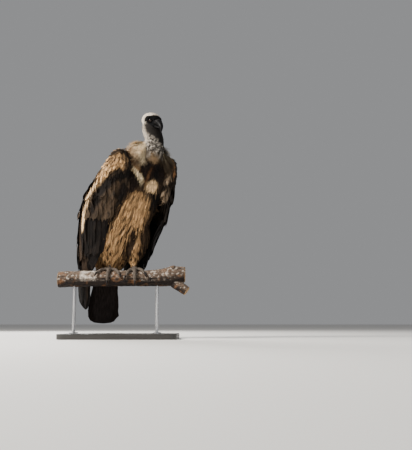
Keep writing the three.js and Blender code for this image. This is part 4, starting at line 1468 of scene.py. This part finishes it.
class Nodes:
    """Short words for the few kinds of shader node that the finishes use."""

    def __init__(self, tree):
        self.tree = tree

    def tint(self):
        return add(self.tree, "ShaderNodeAttribute", attribute_name="Tint").outputs["Color"]

    def value(self, name):
        return add(self.tree, "ShaderNodeAttribute", attribute_name=name).outputs["Fac"]

    def place(self, stretch=(1, 1, 1)):
        where = self.tree.nodes.new("ShaderNodeTexCoord").outputs["Object"]
        return add(self.tree, "ShaderNodeMapping", {"Vector": where, "Scale": stretch}).outputs[0]

    def vane(self):
        at = add(self.tree, "ShaderNodeUVMap", uv_map="Vane").outputs[0]
        return add(self.tree, "ShaderNodeSeparateXYZ", {0: at}).outputs

    def noise(self, where, scale, detail=3.0, rough=0.6):
        inputs = {"Vector": where, "Scale": scale, "Detail": detail, "Roughness": rough}
        return add(self.tree, "ShaderNodeTexNoise", inputs).outputs[0]

    def maths(self, operation, a, b=0.5):
        return add(self.tree, "ShaderNodeMath", {0: a, 1: b}, operation=operation).outputs[0]

    def ranged(self, value, low, high, to_low=0.0, to_high=1.0):
        inputs = {0: value, 1: low, 2: high, 3: to_low, 4: to_high}
        return add(self.tree, "ShaderNodeMapRange", inputs, interpolation_type="SMOOTHSTEP").outputs[0]

    def mix(self, share, a, b, blend="MIX"):
        return add(self.tree, "ShaderNodeMix", {0: share, 6: a, 7: b}, data_type="RGBA", blend_type=blend).outputs[2]

    def darker(self, tinted, share):
        """A colour times a number from a socket."""
        grey = add(self.tree, "ShaderNodeCombineXYZ", {0: share, 1: share, 2: share}).outputs[0]
        return self.mix(1.0, tinted, grey, "MULTIPLY")

    def join(self, x, y, z):
        return add(self.tree, "ShaderNodeCombineXYZ", {0: x, 1: y, 2: z}).outputs[0]

    def bump(self, shader, height, strength, distance):
        made = add(self.tree, "ShaderNodeBump", {"Height": height, "Strength": strength, "Distance": distance})
        self.tree.links.new(made.outputs[0], shader.inputs["Normal"])


def feather_finish(name, barbs=34.0, edge=0.3, shaft=0.35, root=0.5, rough=0.72, dark=0.0, contrast=0.3):
    """Barbs that slant off a shaft, pale or dark edges and a shaded root, over its own colour."""
    material, tree, shader = finish_of(name)
    n = Nodes(tree)
    u, v = n.vane()[:2]
    across = n.maths("ABSOLUTE", n.maths("MULTIPLY", n.maths("SUBTRACT", u, 0.5), 2.0))
    slant = n.maths("SUBTRACT", n.maths("MULTIPLY", v, barbs), n.maths("MULTIPLY", across, 0.3 * barbs))
    barb = n.noise(n.join(slant, n.maths("MULTIPLY", across, 1.2), n.maths("MULTIPLY", n.value("quill"), 40.0)), 1.0, 2.0)
    colour_in = n.darker(n.tint(), n.ranged(barb, 0.25, 0.75, 1 - contrast, 1 + contrast))
    colour_in = n.darker(colour_in, n.ranged(across, 0.02, 0.10, 1 - shaft, 1.0))
    colour_in = n.darker(colour_in, n.ranged(v, 0.0, 0.6, 1 - root, 1.0))
    rim = n.maths("MAXIMUM", n.ranged(across, 0.62, 1.0), n.ranged(v, 0.82, 1.0))
    pale = n.darker(n.tint(), n.maths("ADD", 1.5, n.maths("MULTIPLY", barb, 0.8)))
    colour_in = n.mix(n.maths("MULTIPLY", rim, edge), colour_in, pale)
    colour_in = n.darker(colour_in, n.ranged(across, 0.35, 1.0, 1.0, 1 - dark))
    tree.links.new(colour_in, shader.inputs["Base Color"])
    shader.inputs["Roughness"].default_value = rough
    shader.inputs["Specular IOR Level"].default_value = 0.09
    n.bump(shader, n.maths("ADD", barb, n.ranged(across, 0.0, 0.12, 0.6, 0.0)), 0.55, 0.0008)
    return material


def skin_finish():
    """Bare skin: matt and finely wrinkled, from the skin's own colours."""
    material, tree, shader = finish_of("Bare Skin")
    n = Nodes(tree)
    where = n.place()
    fine, coarse = n.noise(where, 900.0, 4.0), n.noise(where, 160.0, 3.0)
    tree.links.new(n.darker(n.tint(), n.ranged(coarse, 0.3, 0.7, 0.8, 1.25)), shader.inputs["Base Color"])
    tree.links.new(n.ranged(coarse, 0.3, 0.7, 0.6, 0.8), shader.inputs["Roughness"])
    shader.inputs["Specular IOR Level"].default_value = 0.04
    cells = add(tree, "ShaderNodeTexVoronoi", {"Vector": where, "Scale": 900.0}, feature="DISTANCE_TO_EDGE").outputs[0]
    height = n.maths("ADD", n.ranged(cells, 0.0, 0.2, 0.0, 0.5), n.maths("MULTIPLY", fine, 1.2))
    n.bump(shader, n.maths("ADD", height, coarse), 0.45, 0.0006)
    return material


def lining_finish():
    """The under side of the quills: close barbs along the feathers."""
    material, tree, shader = finish_of("Feather Lining")
    n = Nodes(tree)
    barbs = n.noise(n.place((260.0, 260.0, 26.0)), 1.0, 3.0)
    tree.links.new(n.darker(n.tint(), n.ranged(barbs, 0.3, 0.7, 0.6, 1.5)), shader.inputs["Base Color"])
    shader.inputs["Roughness"].default_value = 0.8
    shader.inputs["Specular IOR Level"].default_value = 0.06
    n.bump(shader, barbs, 0.6, 0.001)
    return material


def horn_finish():
    """Dark horn, worn smooth, with faint growth lines."""
    if "Dark Horn" in bpy.data.materials:
        return bpy.data.materials["Dark Horn"]
    material, tree, shader = finish_of("Dark Horn")
    n = Nodes(tree)
    lines = n.noise(n.place((240.0, 240.0, 900.0)), 1.0, 3.0)
    blotch = n.noise(n.place(), 130.0, 3.0)
    tinted = n.darker(n.tint(), n.ranged(blotch, 0.35, 0.7, 0.8, 1.5))
    shader.inputs["Specular IOR Level"].default_value = 0.1
    tree.links.new(n.darker(tinted, n.ranged(lines, 0.3, 0.7, 0.8, 1.2)), shader.inputs["Base Color"])
    tree.links.new(n.ranged(blotch, 0.3, 0.7, 0.42, 0.6), shader.inputs["Roughness"])
    n.bump(shader, lines, 0.25, 0.0003)
    return material


def eye_finish():
    """A wet dark eye under a clear cornea."""
    material, tree, shader = finish_of("Wet Eye")
    n = Nodes(tree)
    rays = n.noise(n.place(), 1400.0, 2.0)
    tree.links.new(n.darker(n.tint(), n.ranged(rays, 0.3, 0.7, 0.7, 1.4)), shader.inputs["Base Color"])
    shader.inputs["Roughness"].default_value = 0.16
    shader.inputs["Specular IOR Level"].default_value = 0.25
    shader.inputs["Coat Weight"].default_value = 0.12
    shader.inputs["Coat Roughness"].default_value = 0.03
    return material


def bark_finish():
    """Dry bark and sawn wood from the branch's own colours."""
    material, tree, shader = finish_of("Dry Bark")
    n = Nodes(tree)
    along = n.noise(n.place((60.0, 420.0, 420.0)), 1.0, 5.0, 0.7)
    grit = n.noise(n.place(), 700.0, 4.0)
    tinted = n.darker(n.tint(), n.ranged(along, 0.3, 0.7, 0.62, 1.3))
    tree.links.new(n.darker(tinted, n.ranged(grit, 0.3, 0.7, 0.8, 1.2)), shader.inputs["Base Color"])
    shader.inputs["Roughness"].default_value = 0.88
    shader.inputs["Specular IOR Level"].default_value = 0.2
    n.bump(shader, n.maths("ADD", along, n.maths("MULTIPLY", grit, 0.5)), 0.8, 0.0015)
    return material


def board_finish(tint):
    """A satin painted board with a trace of its grain."""
    material, tree, shader = finish_of("Painted Board")
    n = Nodes(tree)
    grain = n.noise(n.place((8.0, 160.0, 160.0)), 1.0, 4.0)
    plain = n.mix(0.0, (*tint, 1), (*tint, 1))
    tree.links.new(n.darker(plain, n.ranged(grain, 0.3, 0.7, 0.86, 1.12)), shader.inputs["Base Color"])
    tree.links.new(n.ranged(grain, 0.3, 0.7, 0.34, 0.46), shader.inputs["Roughness"])
    n.bump(shader, grain, 0.15, 0.0004)
    return material


def rod_finish():
    """Brushed steel."""
    material, tree, shader = finish_of("Brushed Steel")
    n = Nodes(tree)
    brush = n.noise(n.place((500.0, 500.0, 14.0)), 1.0, 3.0)
    steel = n.mix(0.0, (0.50, 0.50, 0.51, 1), (0.5, 0.5, 0.5, 1))
    tree.links.new(n.darker(steel, n.ranged(brush, 0.3, 0.7, 0.85, 1.1)), shader.inputs["Base Color"])
    shader.inputs["Metallic"].default_value = 1.0
    tree.links.new(n.ranged(brush, 0.3, 0.7, 0.26, 0.42), shader.inputs["Roughness"])
    return material


def floor_finish(tint):
    """A plain pale floor."""
    material, tree, shader = finish_of("Pale Floor")
    shader.inputs["Base Color"].default_value = (*tint, 1)
    shader.inputs["Roughness"].default_value = 0.85
    return material


# ------------------------------------------------------------------ coat groups

# Each kind of small feather: where it grows and its size in millimetres, with how its shape is made.
COAT = {
    "breast_feathers": dict(
        where="grow_breast", spacing=7.5, length=38, breadth=15, splay=0.20, lift=0.14, looseness=0.4, tone=0.35,
        slot="tan_feather",
        shape=lambda n, c: vane_shape(n, c, 0.55, 0.9, 7, 1.0, 0.14, 0.06, 0.2, c.uniform(-0.12, 0.12)),
    ),
    "belly_feathers": dict(
        where="grow_belly", spacing=8.0, length=74, breadth=17, splay=0.22, lift=0.13, looseness=0.42, tone=0.55,
        slot="tan_feather",
        shape=lambda n, c: vane_shape(n, c, 0.5, 1.0, 9, 1.0, 0.14, 0.06, 0.24, c.uniform(-0.14, 0.14)),
    ),
    "thigh_feathers": dict(
        where="grow_thigh", spacing=7.2, length=66, breadth=15, splay=0.28, lift=0.14, looseness=0.45, tone=0.55,
        slot="tan_feather",
        shape=lambda n, c: vane_shape(n, c, 0.48, 1.0, 8, 1.0, 0.14, 0.07, 0.24, c.uniform(-0.16, 0.16)),
    ),
    "back_feathers": dict(
        where="grow_back", spacing=11, length=64, breadth=30, splay=0.12, lift=0.06, looseness=0.3, tone=0.2,
        slot="brown_feather",
        shape=lambda n, c: vane_shape(n, c, 0.6, 0.4, 10, ragged=0.08),
    ),
    "tail_coverts": dict(
        where="grow_tail_coverts", spacing=10, length=84, breadth=24, splay=0.16, lift=0.02, looseness=1.0, tone=0.25,
        slot="brown_feather",
        shape=lambda n, c: vane_shape(n, c, 0.6, 0.6, 10, 1.0, 0.14, 0.06, 0.16, c.uniform(-0.08, 0.08)),
    ),
    "wing_coverts": dict(
        where="grow_wing", spacing=6.2, length=48, breadth=17, splay=0.24, lift=0.16, looseness=0.5, tone=0.5,
        slot="brown_feather",
        shape=lambda n, c: vane_shape(n, c, 0.58, 0.8, 8, 1.0, 0.14, 0.08, 0.2, c.uniform(-0.1, 0.1)),
    ),
    "wrist_feathers": dict(
        where="grow_wrist", spacing=5.6, length=40, breadth=17, splay=0.3, lift=0.10, looseness=0.3, tone=0.5,
        slot="brown_feather",
        shape=lambda n, c: vane_shape(n, c, 0.58, 0.8, 8, 1.0, 0.14, 0.08, 0.2, c.uniform(-0.1, 0.1)),
    ),
    "belly_streaks": dict(
        where="grow_streaks", spacing=9, length=60, breadth=15, splay=0.20, lift=0.12, looseness=0.6, tone=0.4,
        slot="tan_feather", shape=lambda n, c: strand_shape(n, c, 6, 0.32, 0.10, 5, 0.35, wave=0.08, start=0.3),
    ),
    "ruff_plumes": dict(
        where="grow_ruff", spacing=4.8, length=56, breadth=30, splay=0.4, lift=0.26, looseness=0.8, tone=0.3,
        slot="down", shape=lambda n, c: strand_shape(n, c, 20, 0.46, 0.027, 5, 0.5, wave=0.13, start=0.3),
    ),
    "collar_down": dict(
        where="grow_collar", spacing=4.6, length=30, breadth=17, splay=0.5, lift=0.22, looseness=0.8, tone=0.4,
        slot="down", shape=lambda n, c: strand_shape(n, c, 12, 0.45, 0.045, 4, 0.5, wave=0.16, start=0.2),
    ),
    "neck_down": dict(
        where="grow_neck", spacing=2.1, length=7.0, breadth=5.0, splay=1.5, lift=0.3, looseness=0.8, tone=0.5,
        slot="down", shape=lambda n, c: strand_shape(n, c, 6, 0.5, 0.14, 3, 0.6, wave=0.3),
    ),
    "cap_down": dict(
        where="grow_cap", spacing=2.1, length=9, breadth=6, splay=0.4, lift=0.22, looseness=0.6, tone=0.15,
        slot="down", shape=lambda n, c: strand_shape(n, c, 8, 0.45, 0.12, 4, 0.4, wave=0.10),
    ),
    "face_bristles": dict(
        where="grow_face", spacing=3.4, length=5, breadth=2.2, splay=0.5, lift=0.3, looseness=0.6, tone=0.2,
        slot="dark_skin", shape=lambda n, c: strand_shape(n, c, 3, 0.4, 0.09, 4, 0.3),
    ),
}
VANED = {"breast_feathers", "belly_feathers", "thigh_feathers"}
PALE_EDGED = {"back_feathers", "tail_coverts", "wing_coverts", "wrist_feathers"}


def lay_group(name, scale, seed, material):
    """One kind of small feather, laid on the finished skin."""
    kind = COAT[name]
    shapes = shape_set(name + "_shape", kind["shape"], 8, seed)
    coat = lay_coat(
        bpy.data.objects["skin"],
        bpy.data.node_groups["Lay Tufts"],
        name,
        shapes=shapes,
        finish=material,
        grows_where=kind["where"],
        spacing=kind["spacing"] * MM,
        length=kind["length"] * MM * scale,
        breadth=kind["breadth"] * MM,
        splay=kind["splay"],
        lift=kind["lift"],
        looseness=kind["looseness"],
        tone=kind["tone"],
        seed=seed,
    )
    for obj in list(shapes.objects):
        discard(obj)
    bpy.data.collections.remove(shapes)
    return finish_piece(coat, material)


# ------------------------------------------------------------------ settings


def tint_setting(name, description, code):
    """A colour that the panel shows."""
    return bpy.props.FloatVectorProperty(
        name=name, description=description, subtype="COLOR", size=3, min=0, max=1, default=colour(code)
    )


class VultureColours(bpy.types.PropertyGroup):
    """The colours of the plumage and bare parts."""

    mantle: tint_setting("Mantle", "Back and scapulars", "3d3025")
    rump: tint_setting("Rump", "Pale rump and lower back", "9a846c")
    buff: tint_setting("Buff", "Belly, flanks and thighs", "bd9568")
    # A pale buff that partly stands for painted light, on the breast patch and on the wing's ridge.
    buff_light: tint_setting("Pale buff", "Pale breast patch and edge of the wing", "dcb98c")
    crop: tint_setting("Crop", "Dark crop patch", "1e1611")
    rust: tint_setting("Rust", "Rusty edges of the crop and shoulder", "7a5537")
    down: tint_setting("Down", "White down beside the crop", "ecd5ac")
    ruff: tint_setting("Ruff", "Cream ruff", "f0dcb6")
    ruff_shade: tint_setting("Ruff shade", "Browner plumes in the ruff", "a08462")
    neck_skin: tint_setting("Neck skin", "Dark skin under the neck's down", "1f1c1a")
    cap: tint_setting("Cap", "Pale cap, nape and neck down", "cfc4b6")
    face: tint_setting("Face", "Bare dark face and throat", "0b0b0c")
    coverts: tint_setting("Coverts", "Greater wing coverts", "352b21")
    flight: tint_setting("Flight feathers", "Wing quills and tail", "0e0b0a")
    scale: tint_setting("Feet", "Toes and shanks", "544c45")


class VulturePlumage(bpy.types.PropertyGroup):
    """How the plumage is laid."""

    length: bpy.props.FloatProperty(
        name="Feather length", description="Length of the small feathers against their usual length",
        default=1.0, min=0.5, max=1.5, subtype="FACTOR",
    )
    seed: bpy.props.IntProperty(name="Seed", description="Which chance arrangement of feathers is laid", default=7, min=1)


class VultureStage(bpy.types.PropertyGroup):
    """Stand colours, floor, lights and camera."""

    board: tint_setting("Base board", "Paint of the display base", "2d2b29")
    floor: tint_setting("Floor", "Plain pale floor", "dcdad6")
    key: bpy.props.FloatProperty(
        name="Key light", description="Power of the main light in watts", default=330.0, min=0.0, unit="POWER"
    )
    distance: bpy.props.FloatProperty(
        name="Camera distance", description="How far the camera is from the bird", default=3.0, min=1.0, unit="LENGTH"
    )


def tints_now():
    """The colours in the panel, by name."""
    chosen = bpy.context.scene.vulture_colours
    return {name: np.array(getattr(chosen, name)[:]) for name in VultureColours.__annotations__}


class VulturePiece:
    """What the operators share."""

    bl_options = {"REGISTER", "UNDO"}

    def execute(self, context):
        self.build(context)
        return {"FINISHED"}


class VULTURE_OT_skin(VulturePiece, bpy.types.Operator):
    """Make the one skin of the trunk, wings, neck, head and feet"""

    bl_idname = "vulture.skin"
    bl_label = "Skin"

    def build(self, context):
        skin, region, depth, groove = make_skin()
        dress_skin(skin, region, depth, groove, tints_now())
        finish_piece(skin, skin_finish(), FLESH)
        laying_tree()


class VULTURE_OT_coat(VulturePiece, bpy.types.Operator):
    """Lay the small feathers and down over the skin"""

    bl_idname = "vulture.coat"
    bl_label = "Small Feathers and Down"

    def build(self, context):
        plumage_settings = context.scene.vulture_plumage
        contour = feather_finish("Contour Feather", barbs=26.0, edge=0.0, shaft=-0.25, root=0.6, dark=0.45, contrast=0.35)
        covert = feather_finish("Covert", barbs=24.0, edge=0.3, shaft=0.3, root=0.6, contrast=0.35, dark=0.1)
        down = feather_finish("Down Plume", barbs=12.0, edge=0.25, shaft=0.0, root=0.45, rough=0.9)
        for index, name in enumerate(COAT):
            material = contour if name in VANED else covert if name in PALE_EDGED else down
            lay_group(name, plumage_settings.length, plumage_settings.seed + index, material)


class VULTURE_OT_wings(VulturePiece, bpy.types.Operator):
    """Lay the rows of long feathers on both wings"""

    bl_idname = "vulture.wings"
    bl_label = "Wing Feathers"

    def build(self, context):
        tints = tints_now()
        quill = feather_finish("Flight Feather", barbs=170.0, edge=0.3, shaft=-0.4, root=0.2, rough=0.74, contrast=0.45)
        lining = lining_finish()
        for name in SIDES:
            inner = make_wing_lining(name)
            tint_all(inner, tints["flight"] * 0.55)
            finish_piece(inner, lining, [f"wing_{name}_secondaries", f"wing_{name}_primaries"])
            finish_piece(make_wing_feathers(name, tints), quill)


class VULTURE_OT_tail(VulturePiece, bpy.types.Operator):
    """Lay the twelve tail feathers"""

    bl_idname = "vulture.tail"
    bl_label = "Tail"

    def build(self, context):
        tints = tints_now()
        quill = bpy.data.materials["Flight Feather"]
        inner = make_wing_lining("tail")
        # Painted light: the tail's lining is made much paler than the wings' linings.
        tint_all(inner, tints["flight"] * 3.2)
        finish_piece(inner, bpy.data.materials["Feather Lining"], ["tail"])
        finish_piece(make_tail(tints), quill)


class VULTURE_OT_bill(VulturePiece, bpy.types.Operator):
    """Make the upper and lower bill"""

    bl_idname = "vulture.bill"
    bl_label = "Bill"

    def build(self, context):
        for obj in make_bill():
            finish_piece(obj, horn_finish(), [obj.name.removeprefix("horn_")])


class VULTURE_OT_eyes(VulturePiece, bpy.types.Operator):
    """Make both eyes"""

    bl_idname = "vulture.eyes"
    bl_label = "Eyes"

    def build(self, context):
        material = eye_finish()
        for name in SIDES:
            finish_piece(make_eye(name), material, [f"eye_{name}"])


class VULTURE_OT_claws(VulturePiece, bpy.types.Operator):
    """Make the eight claws"""

    bl_idname = "vulture.claws"
    bl_label = "Claws"

    def build(self, context):
        for name in SIDES:
            finish_piece(make_claws(name), horn_finish(), [f"claw_{name}_{toe}" for toe in TOE_NAMES])


class VULTURE_OT_perch(VulturePiece, bpy.types.Operator):
    """Make the cut branch that the bird stands on"""

    bl_idname = "vulture.perch"
    bl_label = "Branch"

    def build(self, context):
        finish_piece(make_perch(), bark_finish(), ["perch"])


class VULTURE_OT_stand(VulturePiece, bpy.types.Operator):
    """Give the display stand its paint and steel"""

    bl_idname = "vulture.stand"
    bl_label = "Display Stand"

    def build(self, context):
        board, steel = board_finish(context.scene.vulture_stage.board), rod_finish()
        for node, material in (("stand_base", board), ("stand_rod_left", steel), ("stand_rod_right", steel)):
            obj = frame["nodes"][node]
            obj.data.materials.clear()
            obj.data.materials.append(material)


CAMERA_LENS = 56.2
CAMERA_AIM = (0.356, 0, 0.4799)
CAMERA_RISE = math.radians(-8)


class VULTURE_OT_stage(VulturePiece, bpy.types.Operator):
    """Set the floor, the soft lights and the camera"""

    bl_idname = "vulture.stage"
    bl_label = "Floor, Lights and Camera"

    def build(self, context):
        settings = context.scene.vulture_stage
        corners = [(-60, -60, -0.0005), (60, -60, -0.0005), (60, 60, -0.0005), (-60, 60, -0.0005)]
        floor = mesh_object("floor", corners, [(0, 1, 2, 3)], shaded=False)
        floor.data.materials.append(floor_finish(settings.floor))

        world = bpy.data.worlds.new("Studio")
        world.use_nodes = True
        world.node_tree.nodes["Background"].inputs["Color"].default_value = (0.80, 0.81, 0.83, 1)
        world.node_tree.nodes["Background"].inputs["Strength"].default_value = 0.36
        context.scene.world = world

        middle = Vector((0, 0, 0.5))
        lights = (
            ("key", (-2.3, -1.7, 2.3), 1.1, settings.key, (1.0, 0.96, 0.90)),
            ("fill", (2.6, -2.4, 1.2), 2.2, 0.10 * settings.key, (0.90, 0.95, 1.0)),
            ("rim", (-1.2, 2.4, 2.0), 1.4, 0.45 * settings.key, (1.0, 0.98, 0.95)),
        )
        for name, at, size, power, shade in lights:
            lamp = bpy.data.lights.new(name, "AREA")
            lamp.energy, lamp.size, lamp.color = power, size, shade
            obj = bpy.data.objects.new(name, lamp)
            obj.location = at
            obj.rotation_euler = (middle - obj.location).to_track_quat("-Z", "Y").to_euler()
            context.scene.collection.objects.link(obj)

        aim, rise = Vector(CAMERA_AIM), CAMERA_RISE
        lens = bpy.data.cameras.new("camera")
        lens.lens = CAMERA_LENS * settings.distance / 3.0
        camera = bpy.data.objects.new("camera", lens)
        camera.location = aim + settings.distance * Vector((0, -math.cos(rise), math.sin(rise)))
        camera.rotation_euler = (aim - camera.location).to_track_quat("-Z", "Y").to_euler()
        context.scene.collection.objects.link(camera)
        context.scene.camera = camera


class VULTURE_PT_panel(bpy.types.Panel):
    """Lists the pieces of the vulture and their settings"""

    bl_idname = "VULTURE_PT_panel"
    bl_label = "Perched Vulture"
    bl_space_type = "VIEW_3D"
    bl_region_type = "UI"
    bl_category = "Vulture"

    def draw(self, context):
        for operator in OPERATORS:
            self.layout.operator(operator.bl_idname)
        for group in SETTINGS:
            settings = getattr(context.scene, group)
            for name in settings.__annotations__:
                self.layout.prop(settings, name)


SETTINGS = {
    "vulture_colours": VultureColours,
    "vulture_plumage": VulturePlumage,
    "vulture_stage": VultureStage,
}
OPERATORS = (
    VULTURE_OT_skin,
    VULTURE_OT_coat,
    VULTURE_OT_wings,
    VULTURE_OT_tail,
    VULTURE_OT_bill,
    VULTURE_OT_eyes,
    VULTURE_OT_claws,
    VULTURE_OT_perch,
    VULTURE_OT_stand,
    VULTURE_OT_stage,
)


def register():
    for group in (*SETTINGS.values(), *OPERATORS, VULTURE_PT_panel):
        bpy.utils.register_class(group)
    for name, group in SETTINGS.items():
        setattr(bpy.types.Scene, name, bpy.props.PointerProperty(type=group))


def unregister():
    for name in SETTINGS:
        delattr(bpy.types.Scene, name)
    for group in (VULTURE_PT_panel, *reversed(OPERATORS), *reversed(SETTINGS.values())):
        bpy.utils.unregister_class(group)


def main():
    register()
    for operator in OPERATORS:
        area, call = operator.bl_idname.split(".")
        getattr(getattr(bpy.ops, area), call)()


if __name__ == "__main__":
    main()
